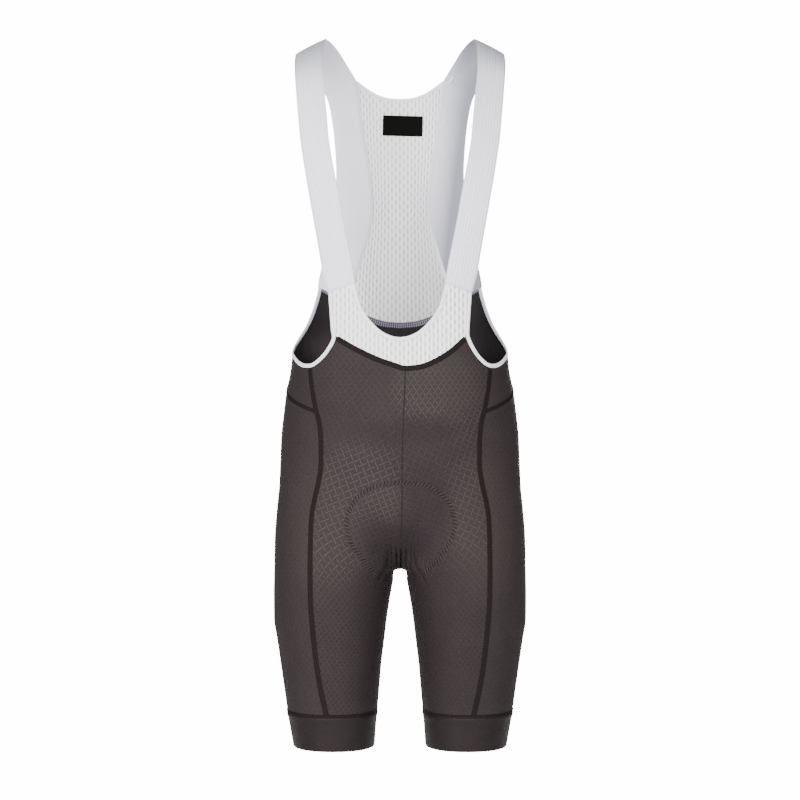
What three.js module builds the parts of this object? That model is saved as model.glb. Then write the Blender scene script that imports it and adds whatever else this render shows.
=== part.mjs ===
// Cycling bib shorts in their worn form with nobody inside, in millimetres.
// +Z is up, the front faces -Y, and left is the wearer's left, which is +X.
// The origin lies midway between the straps at the top of the shoulders.
import * as THREE from "three";

const CLOTH = 1.2; // wall of every cut panel
const GAP = 0.3; // clearance between two pieces at a seam
const CUFF_WALL = 1.6; // doubled gripper band
const BIND_WIDE = 6; // width of a folded binding
const BIND_THICK = 2.2; // thickness of a folded binding
const CROTCH = -700; // height where the two legs part
const RISE = 115; // height over which two legs become one torso
const BLEND = 27; // how softly the legs run into each other
const CUFF_TOP = -890;
const HEM = -935.5;
const TORSO_POWER = 2.5; // squareness of the torso section
const LEG_POWER = 2.2; // squareness of the leg section
const DIAGONAL_FRONT = -490; // side seam between the two side panels, at its front end
const DIAGONAL_BACK = -446; // the same seam at its back end

// A table's first column is its key; the others run smoothly through their rows.
class Table {
  constructor(names, rows) {
    this.key = rows.map((row) => row[0]);
    names.slice(1).forEach((name, index) => {
      const value = rows.map((row) => row[index + 1]);
      this[name] = (key) => follow(this.key, value, key);
    });
  }
}

// Curve through (key, value) that never swings past its rows.
function follow(key, value, at) {
  const last = key.length - 1;
  if (at <= key[0]) return value[0];
  if (at >= key[last]) return value[last];
  let i = 0;
  while (at > key[i + 1]) i += 1;
  const slope = (k) => (value[k + 1] - value[k]) / (key[k + 1] - key[k]);
  const lean = (k) => {
    if (k === 0) return slope(0);
    if (k === last) return slope(last - 1);
    const before = slope(k - 1);
    const after = slope(k);
    return before * after <= 0 ? 0 : (2 * before * after) / (before + after);
  };
  const step = key[i + 1] - key[i];
  const t = (at - key[i]) / step;
  const fall = (1 + 2 * t) * (1 - t) * (1 - t);
  return (
    value[i] * fall +
    value[i + 1] * (1 - fall) +
    step * (lean(i) * t * (1 - t) * (1 - t) - lean(i + 1) * t * t * (1 - t))
  );
}

// Torso section by height.
const TORSO = new Table(["z", "wide", "front", "back"], [
  [-720, 169, 100, 112],
  [-660, 167.5, 104, 120],
  [-620, 164.5, 108, 123],
  [-587, 161.3, 111, 121],
  [-555, 160, 113, 117],
  [-523, 158.7, 114, 111],
  [-491, 155.3, 113, 105],
  [-461, 151.3, 112, 99],
  [-434, 146, 110, 94],
  [-407, 143.6, 109, 90],
  [-371, 142, 108, 87],
  [-335, 142, 108, 88],
  [-300, 144, 108, 92],
  [-270, 147, 108, 97],
  [-235, 152, 108, 102],
  [-205, 156, 108, 105],
  [-160, 162, 108, 105],
  [-120, 165, 108, 100],
  [-80, 165, 108, 88],
  [-60, 165, 108, 78],
  [-30, 165, 108, 60],
]);

// One leg's section by height: distance of its inner and outer side from the middle, and its depths.
const LEG = new Table(["z", "inside", "outside", "front", "back"], [
  [-940, 34.4, 141.6, 70, 62],
  [-890, 30.8, 150.3, 74, 66],
  [-860, 28.1, 154.7, 77, 70],
  [-828, 25.4, 159.3, 81, 75],
  [-796, 21.5, 164, 85, 80],
  [-764, 17.6, 168.6, 89, 86],
  [-732, 12.6, 168.8, 93, 92],
  [-716, 10.1, 168.5, 95, 96],
  [-704, 8.6, 168.3, 96.5, 98.5],
  [-700, 6.75, 168.2, 97, 99],
  [-697, 5.4, 168.1, 97.3, 99.5],
  [-688, 3.6, 168, 98, 101],
  [-660, -3, 167.5, 101, 106],
  [-585, -25, 161.5, 106, 112],
]);

// Distance of the seams between front and side, and side and back, from the middle plane.
const SEAM = new Table(["z", "front", "back"], [
  [-890, 95.5, 95],
  [-845, 105, 106],
  [-813, 109.7, 111],
  [-770, 114, 116],
  [-731, 116.5, 119],
  [-702, 116.8, 120],
  [-657, 116.3, 121],
  [-627, 114.9, 121],
  [-604, 111, 119],
  [-580, 105.4, 116],
  [-558, 102.5, 113],
  [-530, 102.7, 112],
  [-507, 104.6, 112.5],
  [-490, 108.8, 113.5],
  [-458, 114.9, 116.5],
  [-434, 117.5, 119],
  [-390, 122, 126],
  [-320, 128, 136],
]);

// The front middle of the cloth hangs a little to one side at the waist.
const SWAY = new Table(["z", "aside"], [
  [-700, 0],
  [-640, 2],
  [-540, 3],
  [-432, 6.5],
  [-330, 2],
]);

// Waist seam of the front, by distance from the middle plane.
const WAIST_FRONT = new Table(["x", "z"], [
  [-84, -391],
  [-67, -401],
  [-51.7, -409.4],
  [-25.8, -421.1],
  [-6.5, -427.6],
  [6.5, -431.5],
  [25.8, -429.5],
  [51.7, -418.7],
  [67, -408.5],
  [84, -393],
]);

// Armhole edge of the dark panels, by distance round the body from the front middle.
const ARMHOLE = new Table(["round", "z"], [
  [84.4, -391],
  [90, -403.4],
  [100.3, -417.6],
  [112.7, -427.9],
  [124, -433],
  [136.6, -432.8],
  [155.4, -427.3],
  [176.3, -419.5],
  [202, -414.5],
  [222, -408.5],
  [239.3, -398.9],
  [255.3, -384],
  [265.9, -369.2],
  [273.9, -354.6],
  [279.6, -340.2],
  [285.8, -323.6],
]);

// Waist seam of the back, by distance from the middle plane.
const WAIST_BACK = new Table(["x", "z"], [
  [0, -371],
  [20, -369.2],
  [41, -363.2],
  [60, -354.5],
  [78, -343],
  [99, -328],
  [107, -323.4],
  [114, -320],
]);

// Front neckline from the strap to the middle.
const NECKLINE = new Table(["t", "x", "z"], [
  [0, 58.2, -323.7],
  [0.14, 55.4, -337],
  [0.28, 51.6, -350],
  [0.4, 46.6, -360.5],
  [0.51, 40.2, -369.5],
  [0.64, 31.3, -379.3],
  [0.78, 19.7, -388],
  [0.92, 6.6, -392.9],
  [1, 0, -393.6],
]);

// Lower edge of the back neck band, by distance from the middle plane.
const NAPE = new Table(["x", "z"], [
  [0, -65.2],
  [16, -64],
  [33.6, -59],
  [48, -51],
  [54.5, -46.4],
  [59.5, -42],
]);

// Edges of the white back side panel: its seam with the mesh and its outer edge.
const BACK_SIDE = new Table(["z", "seam", "edge"], [
  [-372, 92, 125],
  [-350, 81.5, 118],
  [-337, 74.2, 114.6],
  [-320, 67.5, 112.6],
  [-300, 60.6, 109.2],
  [-268, 51.1, 100.7],
  [-233, 41.5, 92.6],
  [-205, 39, 88.7],
  [-161, 43.1, 88.2],
  [-119, 49.7, 90.4],
  [-79, 55.5, 95.5],
  [-60, 57.9, 100.5],
  [-37, 60.1, 106],
]);

// A strap from its seam with the front, over the shoulder, to its seam behind the neck:
// inner edge, outer edge and how far its middle bows out between them.
const STRAP = new Table(["row", "xi", "yi", "zi", "xo", "yo", "zo", "bow"], [
  [0, 58.2, -103.4, -323.4, 93.5, -91.6, -335.4, 1.8],
  [1, 62.0, -105.5, -301.6, 101.3, -94.0, -305.0, 1.6],
  [2, 67.4, -107.5, -274.0, 106.6, -96.5, -274.0, 1.4],
  [3, 73.9, -108.0, -241.0, 112.5, -98.5, -241.0, 1.2],
  [4, 80.2, -107.5, -205.0, 118.8, -99.0, -205.0, 1.1],
  [5, 87.4, -104.5, -166.0, 125.3, -97.0, -166.0, 1.0],
  [6, 91.9, -100.0, -138.1, 129.5, -94.0, -137.9, 1.0],
  [7, 94.9, -92.5, -106.0, 132.7, -88.0, -106.0, 0.9],
  [8, 98.5, -79.0, -70.4, 135.8, -77.0, -73.0, 0.8],
  [9, 101.6, -62.0, -38.0, 138.3, -61.5, -46.0, 0.7],
  [10, 102.1, -43.0, -13.5, 139.3, -43.0, -28.5, 0.6],
  [11, 100.9, -24.0, 1.2, 139.2, -25.0, -17.4, 0.6],
  [12, 98.8, -5.0, 8.4, 137.2, -6.0, -11.4, 0.7],
  [13, 93.6, 13.5, 7.0, 131.4, 14.0, -14.0, 0.9],
  [14, 83.9, 32.0, -1.6, 121.6, 33.0, -25.5, 1.3],
  [15, 72.1, 49.0, -18.7, 110.5, 51.5, -42.5, 1.8],
  [16, 60.1, 61.6, -36.7, 100.5, 68.0, -60.6, 2.4],
]);

// Chamois pad, by distance along the middle from its front end: half width, thickness
// and clearance from the cloth, whose flat facets cut inside its true curve.
const PAD = new Table(["along", "half", "thick", "clear"], [
  [0, 24, 1.4, 1.7],
  [8, 43, 2.4, 1.7],
  [20, 59, 3.6, 1.7],
  [38, 70, 4.4, 1.7],
  [54, 74, 4.8, 1.7],
  [72, 70, 5, 1.7],
  [92, 60, 5, 1.7],
  [115, 48, 5, 1.7],
  [150, 38, 5, 2],
  [190, 48, 5, 2.9],
  [230, 60, 5, 3.4],
  [262, 66, 4.4, 3.2],
  [290, 60, 3.6, 3],
  [308, 44, 2.4, 2.8],
  [318, 28, 1.4, 2.4],
]);

const ease = (t) => {
  const held = Math.min(1, Math.max(0, t));
  return held * held * (3 - 2 * held);
};
const mix = (a, b, t) => a + (b - a) * t;
const steps = (count) => Array.from({ length: count + 1 }, (_, i) => i / count);

// Distance of a point from an oval, measured along the ray from its middle.
function fromOval(dx, dy, wide, deep, power) {
  const reach = Math.hypot(dx, dy);
  if (reach < 1e-6) return -Math.min(wide, deep);
  const size = Math.pow(Math.abs(dx / wide), power) + Math.pow(Math.abs(dy / deep), power);
  return reach * (1 - Math.pow(size, -1 / power));
}

// Below zero inside the body form, zero on the outer face of the cloth.
function body(x, y, z) {
  const torsoShare = ease((z - CROTCH) / RISE);
  let total = 0;
  if (torsoShare > 0) {
    const deep = y < 0 ? TORSO.front(z) : TORSO.back(z);
    total += torsoShare * fromOval(x, y, TORSO.wide(z), deep, TORSO_POWER);
  }
  if (torsoShare < 1) {
    const inside = LEG.inside(z);
    const outside = LEG.outside(z);
    const middle = (inside + outside) / 2;
    const wide = (outside - inside) / 2;
    const deep = y < 0 ? LEG.front(z) : LEG.back(z);
    const one = fromOval(x - middle, y, wide, deep, LEG_POWER);
    const other = fromOval(x + middle, y, wide, deep, LEG_POWER);
    const near = Math.max(BLEND - Math.abs(one - other), 0) / BLEND;
    total += (1 - torsoShare) * (Math.min(one, other) - (near * near * BLEND) / 4);
  }
  return total;
}

// Outward direction of the body form.
function outward(x, y, z) {
  const h = 0.4;
  return new THREE.Vector3(
    body(x + h, y, z) - body(x - h, y, z),
    body(x, y + h, z) - body(x, y - h, z),
    body(x, y, z + h) - body(x, y, z - h),
  ).normalize();
}

// Solves f = 0 between a low end, where f is negative, and a high end.
function solve(f, low, high) {
  let a = low;
  let b = high;
  for (let i = 0; i < 44; i += 1) {
    const middle = (a + b) / 2;
    if (f(middle) < 0) a = middle;
    else b = middle;
  }
  return (a + b) / 2;
}

// Half a section at one height, from the front middle round to the back middle.
// Below the crotch it's one leg's whole section, starting at the inside leg.
const rings = new Map();
function ring(z) {
  const name = z.toFixed(3);
  if (rings.has(name)) return rings.get(name);
  const middle = z > -585 ? TORSO.wide(z) / 2 : (LEG.inside(z) + LEG.outside(z)) / 2;
  const joined = z > CROTCH + 1e-6;
  const front = joined ? -solve((y) => body(0, -y, z), 0, 220) : 0;
  const back = joined ? solve((y) => body(0, y, z), 0, 220) : 0;
  const from = joined ? Math.atan2(front, -middle) : -Math.PI;
  const to = joined ? Math.atan2(back, -middle) : Math.PI;
  const count = 160;
  const points = [];
  const round = [0];
  for (let i = 0; i <= count; i += 1) {
    const angle = mix(from, to, i / count);
    const dx = Math.cos(angle);
    const dy = Math.sin(angle);
    const most = dx < 0 ? Math.min(260, -middle / dx) : 260;
    const r = solve((s) => body(middle + s * dx, s * dy, z), 0, most);
    points.push([middle + r * dx, r * dy]);
    if (i > 0) {
      const [px, py] = points[i - 1];
      round.push(round[i - 1] + Math.hypot(points[i][0] - px, points[i][1] - py));
    }
  }
  const made = { points, round, whole: round[count] };
  rings.set(name, made);
  return made;
}

// Point of the section at a distance round the body.
function onRing(z, distance) {
  const { points, round } = ring(z);
  let i = 1;
  while (i < round.length - 1 && round[i] < distance) i += 1;
  const t = (distance - round[i - 1]) / (round[i] - round[i - 1]);
  return [mix(points[i - 1][0], points[i][0], t), mix(points[i - 1][1], points[i][1], t), z];
}

// Distance round the body at which the section reaches x, on its front or its back.
function roundAt(z, x, atBack) {
  const { points, round, whole } = ring(z);
  const count = points.length;
  for (let k = 1; k < count; k += 1) {
    const i = atBack ? count - 1 - k : k;
    const j = atBack ? i + 1 : i - 1;
    if (points[i][0] >= x) {
      const t = (x - points[j][0]) / (points[i][0] - points[j][0]);
      return mix(round[j], round[i], t);
    }
  }
  return whole / 2;
}

// Where a panel starts and ends round the body: 0 is the front, 1 the side, 2 the back.
function span(panel, z) {
  const frontSeam = roundAt(z, SEAM.front(z), false);
  const backSeam = roundAt(z, SEAM.back(z), true);
  const ends = [0, frontSeam, backSeam, ring(z).whole];
  return [ends[panel] + GAP / 2, ends[panel + 1] - GAP / 2];
}

// Distance round the body of a panel's column t, 0 to 1, at one height.
function column(panel, t, z) {
  const [from, to] = span(panel, z);
  return mix(from, to, t);
}

// A point of the body form on the side asked for, with the sway, moved out along its normal.
function lay([x, y, z], out, side) {
  const near = Math.max(0, 1 - (x / 125) ** 2);
  const aside = SWAY.aside(z) * near * near * ease((-20 - y) / 50);
  const at = side * x + aside;
  const depth = aside === 0 ? y : over(Math.abs(at), z, false)[1];
  return place(at, depth, z, out);
}

// A point of the body form at a signed x, moved out along its normal.
function place(x, y, z, out) {
  const normal = outward(Math.abs(x), y, z);
  normal.x *= Math.sign(x) || 1;
  return new THREE.Vector3(x, y, z).addScaledVector(normal, out);
}

// The body's surface point over (x, z), on the front or the back.
function over(x, z, atBack) {
  const y = solve((depth) => body(x, atBack ? depth : -depth, z), 0, 220);
  return [x, atBack ? y : -y, z];
}

// A closed wall between two grids of points with the same rows and columns.
function wall(name, outer, inner, colour, roughness, closed = false) {
  const rows = outer.length;
  const cols = outer[0].length;
  const position = [];
  const faces = [];
  [outer, inner].forEach((grid) => grid.flat().forEach((p) => position.push(p.x, p.y, p.z)));
  const at = (layer, i, j) => layer * rows * cols + i * cols + (j % cols);
  const quad = (a, b, c, d) => faces.push([a, b, c], [a, c, d]);
  const across = closed ? cols : cols - 1;
  for (let i = 0; i < rows - 1; i += 1) {
    for (let j = 0; j < across; j += 1) {
      quad(at(0, i, j), at(0, i + 1, j), at(0, i + 1, j + 1), at(0, i, j + 1));
      quad(at(1, i, j), at(1, i, j + 1), at(1, i + 1, j + 1), at(1, i + 1, j));
    }
    if (!closed) {
      quad(at(0, i, 0), at(1, i, 0), at(1, i + 1, 0), at(0, i + 1, 0));
      quad(at(0, i, cols - 1), at(0, i + 1, cols - 1), at(1, i + 1, cols - 1), at(1, i, cols - 1));
    }
  }
  for (let j = 0; j < across; j += 1) {
    quad(at(0, 0, j), at(0, 0, j + 1), at(1, 0, j + 1), at(1, 0, j));
    quad(at(0, rows - 1, j), at(1, rows - 1, j), at(1, rows - 1, j + 1), at(0, rows - 1, j + 1));
  }
  return piece(name, position, faces, colour, roughness);
}

// Makes a named mesh, turning its faces round where they'd point inwards.
function piece(name, position, faces, colour, roughness) {
  const corner = (i) => new THREE.Vector3().fromArray(position, 3 * i);
  const volume = faces.reduce(
    (sum, [a, b, c]) => sum + corner(a).dot(corner(b).cross(corner(c))),
    0,
  );
  const index = faces.flatMap(([a, b, c]) => (volume > 0 ? [a, b, c] : [a, c, b]));
  const geometry = new THREE.BufferGeometry();
  geometry.setAttribute("position", new THREE.Float32BufferAttribute(position, 3));
  geometry.setIndex(index);
  geometry.computeVertexNormals();
  const material = new THREE.MeshStandardMaterial({ color: colour, roughness, metalness: 0 });
  const mesh = new THREE.Mesh(geometry, material);
  mesh.name = name;
  return mesh;
}

// A folded binding along a path of edge points: each has its place, its outward normal
// and the direction across the binding, away from the panel that it binds.
function binding(name, path, width, thick, colour) {
  const profile = [
    [0, 0.25],
    [0.12, 0.5],
    [0.85, 0.5],
    [1, 0.2],
    [1, -0.2],
    [0.85, -0.5],
    [0.12, -0.5],
    [0, -0.25],
  ];
  const grid = path.map(({ point, normal, aside }) =>
    profile.map(([across, up]) =>
      point
        .clone()
        .addScaledVector(aside, GAP + across * (width - GAP))
        .addScaledVector(normal, up * thick - CLOTH / 2),
    ),
  );
  const position = grid.flat().flatMap((p) => [p.x, p.y, p.z]);
  const n = profile.length;
  const faces = [];
  for (let i = 0; i < grid.length - 1; i += 1) {
    for (let j = 0; j < n; j += 1) {
      const a = i * n + j;
      const b = i * n + ((j + 1) % n);
      faces.push([a, b, b + n], [a, b + n, a + n]);
    }
  }
  const end = (grid.length - 1) * n;
  for (let j = 1; j < n - 1; j += 1) {
    faces.push([0, j + 1, j], [end, end + j, end + j + 1]);
  }
  return piece(name, position, faces, colour, 0.85);
}

const DARK = 0x4a4341;
const BAND = 0x3a3634;
const WHITE = 0xe4e4e6;
const KNIT = 0xd9d9df;
const PALE = 0xcfcfd6;

const group = new THREE.Group();
const add = (mesh) => group.add(mesh);

// Columns of the front and back panels crowd towards the middle, where the crotch turns sharply.
const NEAR_MIDDLE = [0, 0.05, 0.13, 0.26, 0.44, 0.7, 1];

// Rows of heights that every dark panel shares, closer together round the crotch.
const ROWS = [
  -490, -505, -520, -545, -570, -595, -618, -638, -655, -669, -680, -689, -695, -698.5, -700,
  -701.2, -704, -709, -717, -729, -745, -765, -792, -824, -857, CUFF_TOP + GAP / 2,
];

// A dark panel: its columns run from its top edge to the first shared row, then down the rows.
function panel(name, index, columns, tops, side, first) {
  const outer = [];
  const inner = [];
  const put = (heights) => {
    const laid = columns.map((t, j) => onRing(heights(j), column(index, t, heights(j))));
    outer.push(laid.map((p) => lay(p, 0, side)));
    inner.push(laid.map((p) => lay(p, -CLOTH, side)));
  };
  const upper = ROWS[first];
  const cuts = index === 1 ? 1 : 5;
  for (let k = 0; k < cuts; k += 1) put((j) => mix(tops[j], upper, k / cuts));
  for (let k = first; k < ROWS.length; k += 1) put(() => ROWS[k]);
  return wall(name, outer, inner, DARK, 0.8);
}

// Height at which a column meets an edge given by how high it is round the body.
function topOf(index, t, edge, low, high) {
  return solve((z) => z - edge(z, column(index, t, z)), low, high) - GAP / 2;
}

const armholeEdge = (z, round) => ARMHOLE.z(round);
const sideWord = (side) => (side > 0 ? "left" : "right");

const edges = {};
for (const side of [1, -1]) {
  const word = sideWord(side);
  const waistFront = (z, round) => WAIST_FRONT.z(lay(onRing(z, round), 0, side).x);
  const waistBack = (z, round) => WAIST_BACK.z(onRing(z, round)[0]);

  // Front: six columns under the waist seam, then four under the armhole.
  const cornerZ = -391;
  const cornerT = (ARMHOLE.key[0] - GAP / 2) / (span(0, cornerZ)[1] - GAP / 2);
  const frontColumns = [
    ...NEAR_MIDDLE.map((t) => t * cornerT),
    ...steps(4).slice(1).map((t) => mix(cornerT, 1, t)),
  ];
  const frontTops = frontColumns.map((t, j) =>
    topOf(0, t, j <= 6 ? waistFront : armholeEdge, -480, -370),
  );
  add(panel("front_" + word, 0, frontColumns, frontTops, side, 0));

  // Sides: a small upper panel under the armhole and the long one down to the cuff.
  const sideColumns = steps(7);
  const sideTops = sideColumns.map((t) => topOf(1, t, armholeEdge, -480, -330));
  const diagonal = sideColumns.map((t) =>
    mix(DIAGONAL_FRONT, DIAGONAL_BACK, Math.sin((t * Math.PI) / 2)),
  );
  const upperOut = [];
  const upperIn = [];
  for (const k of steps(3)) {
    const laid = sideColumns.map((t, j) => {
      const z = mix(sideTops[j], diagonal[j] + GAP / 2, k);
      return onRing(z, column(1, t, z));
    });
    upperOut.push(laid.map((p) => lay(p, 0, side)));
    upperIn.push(laid.map((p) => lay(p, -CLOTH, side)));
  }
  add(wall("side_upper_" + word, upperOut, upperIn, DARK, 0.8));
  const lowerTops = diagonal.map((z) => z - GAP / 2);
  add(panel("side_" + word, 1, sideColumns, lowerTops, side, 1));

  // Back: four columns under the armhole, then six under the waist seam.
  const [backFrom, backTo] = span(2, -323.6);
  const cornerRound = ARMHOLE.key[ARMHOLE.key.length - 1];
  const backCornerT = (cornerRound - backFrom) / (backTo - backFrom);
  const backColumns = [
    ...steps(4).map((t) => t * backCornerT),
    ...NEAR_MIDDLE.slice(0, -1).reverse().map((t) => mix(1, backCornerT, t)),
  ];
  const backTops = backColumns.map((t, j) =>
    topOf(2, t, j < 4 ? armholeEdge : waistBack, -480, -290),
  );
  add(panel("back_" + word, 2, backColumns, backTops, side, 0));

  // Cuff: a closed band round the leg, its columns those of the panels above it.
  const cuffRound = (z) => [
    ...frontColumns.map((t) => column(0, t, z)),
    ...sideColumns.slice(1).map((t) => column(1, t, z)),
    ...backColumns.slice(1, -1).map((t) => column(2, t, z)),
  ];
  const cuffOut = [];
  const cuffIn = [];
  for (const z of [CUFF_TOP - GAP / 2, -894, -914, HEM]) {
    const flare = z > -893 ? 0.9 : 0.3;
    const laid = cuffRound(z).map((r) => onRing(z, r));
    cuffOut.push(laid.map((p) => lay(p, flare, side)));
    cuffIn.push(laid.map((p) => lay(p, flare - CUFF_WALL, side)));
  }
  add(wall("cuff_" + word, cuffOut, cuffIn, BAND, 0.7, true));

  const along = (index, columns, tops) =>
    columns.map((t, j) => onRing(tops[j], column(index, t, tops[j])));
  edges[word] = {
    waist: along(0, frontColumns.slice(0, 7), frontTops).map((p) => lay(p, 0, side)),
    seat: along(2, backColumns.slice(4), backTops.slice(4)),
    armhole: [
      ...along(0, frontColumns.slice(6), frontTops.slice(6)),
      ...along(1, sideColumns, sideTops).slice(1),
      ...along(2, backColumns.slice(1, 5), backTops.slice(1, 5)),
    ],
  };
}

// Gives each point of an edge its outward normal and the direction across its binding.
// turn is 1 or -1, and picks the side of the path on which the binding lies.
function bindingPath(points, turn, startAside, endAside) {
  return points.map((p, i) => {
    const before = points[Math.max(0, i - 1)];
    const after = points[Math.min(points.length - 1, i + 1)];
    const normal = outward(Math.abs(p.x), p.y, p.z);
    normal.x *= Math.sign(p.x) || 1;
    const run = after.clone().sub(before).normalize();
    let aside = run.clone().cross(normal).multiplyScalar(turn).normalize();
    if (i === 0 && startAside) aside = startAside;
    if (i === points.length - 1 && endAside) aside = endAside;
    return { point: p, normal, aside };
  });
}

// Top edge of the back panels as cut, straight from column to column, by distance from the middle.
function seatTop(x) {
  const cut = edges.left.seat;
  let i = 1;
  while (i < cut.length - 1 && cut[i][0] > x) i += 1;
  const t = (x - cut[i - 1][0]) / (cut[i][0] - cut[i - 1][0]);
  return mix(cut[i - 1][2], cut[i][2], t) + GAP;
}

const onFront = (x, z) => new THREE.Vector3(x, over(Math.abs(x), z, false)[1], z);
const onBack = (x, z) => new THREE.Vector3(x, over(Math.abs(x), z, true)[1], z);

// Seam between a strap and the front: a straight line from the neckline to the armhole.
const strapSeam = (x) => mix(STRAP.zi(0), STRAP.zo(0), (x - STRAP.xi(0)) / (STRAP.xo(0) - STRAP.xi(0)));
const seamSlope = (sign, from, to) =>
  onFront(sign * to, strapSeam(to)).sub(onFront(sign * from, strapSeam(from))).normalize();

// Front bib: between the neckline, the straps, the armholes and the waist seam.
const neckSteps = steps(8);
const NECK_WIDE = 5.4;
const neckRim = neckSteps.map((t) => onFront(NECKLINE.x(t), NECKLINE.z(t)));
const neckEdge = neckRim.map((p, i) => {
  const before = neckRim[Math.max(0, i - 1)];
  const after = neckRim[Math.min(8, i + 1)];
  const run = after.clone().sub(before);
  if (i === 8) run.set(-1, 0, 0);
  const away = run.normalize().cross(outward(p.x, p.y, p.z)).normalize();
  if (i === 0) return onFront(p.x + NECK_WIDE, strapSeam(p.x + NECK_WIDE) - GAP);
  return onFront(p.x - NECK_WIDE * away.x, p.z - NECK_WIDE * away.z);
});
if (neckEdge[4].z > neckRim[4].z) throw new Error("the neckline is bound on its wrong side");
const BIB_SIDE = 88.4;
const bibTops = [onFront(BIB_SIDE, strapSeam(BIB_SIDE) - GAP), ...neckEdge];
const halves = (waist) => {
  const whole = waist.slice().reverse();
  const made = [whole[0]];
  for (let i = 1; i < whole.length; i += 1) {
    if (i > 1 && i < 5) made.push(whole[i - 1].clone().add(whole[i]).multiplyScalar(0.5));
    made.push(whole[i]);
  }
  return made;
};
const rightFoot = halves(edges.right.waist);
const leftFoot = halves(edges.left.waist).reverse();
const middleFoot = rightFoot[9].clone().add(leftFoot[0]).multiplyScalar(0.5);
const foot = [...rightFoot.slice(0, -1), middleFoot, ...leftFoot.slice(1)];
const head = [
  ...bibTops.slice(0, 9).map((p) => new THREE.Vector3(-p.x, p.y, p.z)),
  bibTops[9],
  ...bibTops.slice(0, 9).reverse(),
];
const bibRows = steps(6).map((v) =>
  head.map((top, j) => {
    const low = foot[j];
    const x = mix(top.x, low.x, v);
    const z = mix(top.z, low.z + GAP, v);
    return [x, over(Math.abs(x), z, false)[1], z];
  }),
);
const bibGrid = (out) => bibRows.map((row) => row.map(([x, y, z]) => place(x, y, z, out)));
add(wall("bib_front", bibGrid(0), bibGrid(-CLOTH), WHITE, 0.9));

const neckPath = [
  ...neckEdge.slice(0, 8).map((p) => new THREE.Vector3(-p.x, p.y, p.z)),
  neckEdge[8],
  ...neckEdge.slice(0, 8).reverse(),
];
add(
  binding(
    "neck_binding_front",
    bindingPath(neckPath, -1, seamSlope(-1, 63.6, 58.2), seamSlope(1, 63.6, 58.2)),
    NECK_WIDE,
    BIND_THICK,
    WHITE,
  ),
);

for (const side of [1, -1]) {
  const word = sideWord(side);
  const sideEdge = bibRows.map((row) => row[side > 0 ? row.length - 1 : 0]);
  const upper = sideEdge.slice(0, -1).map(([x, , z]) => onFront(x, z));
  const lower = edges[word].armhole.map((p) => lay(p, 0, side));
  const path = [...upper, ...lower];
  const end = path[path.length - 1];
  const rim = onBack(side * 113, WAIST_BACK.z(113) - GAP);
  add(
    binding(
      "armhole_binding_" + word,
      bindingPath(path, -side, seamSlope(side, 88.4, 93.5), rim.sub(end).normalize()),
      BIND_WIDE,
      BIND_THICK,
      PALE,
    ),
  );

  // Strap: a flat knitted band over the shoulder.
  const strapOut = [];
  const strapIn = [];
  const strapPoint = (row, t) => {
    const from = new THREE.Vector3(STRAP.xi(row), STRAP.yi(row), STRAP.zi(row));
    const to = new THREE.Vector3(STRAP.xo(row), STRAP.yo(row), STRAP.zo(row));
    return from.lerp(to, t);
  };
  const strapRows = 32;
  for (let i = 0; i <= strapRows; i += 1) {
    const row = mix(0.008, 15.985, i / strapRows);
    const out = [];
    const within = [];
    for (const t of steps(4)) {
      const run = strapPoint(row + 0.01, 0.5).sub(strapPoint(row - 0.01, 0.5));
      const cross = strapPoint(row, 1).sub(strapPoint(row, 0));
      const normal = cross.cross(run).normalize();
      const bow = STRAP.bow(row) * (1 - (2 * t - 1) ** 2);
      const p = strapPoint(row, t).addScaledVector(normal, bow);
      const inner = p.clone().addScaledVector(normal, -1.5);
      out.push(p.setX(side * p.x));
      within.push(inner.setX(side * inner.x));
    }
    strapOut.push(out);
    strapIn.push(within);
  }
  add(wall("strap_" + word, strapOut, strapIn, KNIT, 0.75));

  // White back side panel, from the end of the strap to the waist seam.
  const across = (t, z) => mix(BACK_SIDE.seam(z) + GAP / 2, BACK_SIDE.edge(z), t);
  const sideRows = steps(22).map((v) =>
    steps(4).map((t) => {
      const top = mix(-37, -60.9, t);
      const low = solve((z) => z - seatTop(across(t, z)), -400, -300);
      const z = mix(top, low, v);
      return [side * across(t, z), over(across(t, z), z, true)[1], z];
    }),
  );
  const sideGrid = (out) => sideRows.map((row) => row.map(([x, y, z]) => place(x, y, z, out)));
  add(wall("back_side_" + word, sideGrid(0), sideGrid(-CLOTH), PALE, 0.8));
}

// Mesh back between its neck band, the side panels and the waist seam.
const meshAcross = (t, z) => t * (BACK_SIDE.seam(z) - GAP / 2);
const backRows = steps(22).map((v) =>
  steps(12).map((s) => {
    const t = 2 * s - 1;
    const x = Math.abs(t);
    const top = solve((z) => z - NAPE.z(meshAcross(x, z)), -80, -30);
    const low = solve((z) => z - seatTop(meshAcross(x, z)), -400, -300);
    const z = mix(top, low, v);
    return [meshAcross(t, z), over(Math.abs(meshAcross(t, z)), z, true)[1], z];
  }),
);
const backGrid = (out) => backRows.map((row) => row.map(([x, y, z]) => place(x, y, z, out)));
add(wall("bib_back", backGrid(0), backGrid(-CLOTH), WHITE, 0.9));

const napePath = backRows[0].map(([x, , z]) => onBack(x, z));
const napeEnd = (sign) => onBack(sign * 59.8, -37).sub(onBack(sign * 59.4, -42)).normalize();
add(
  binding(
    "neck_binding_back",
    bindingPath(napePath, 1, napeEnd(-1), napeEnd(1)),
    5,
    BIND_THICK,
    WHITE,
  ),
);

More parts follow.
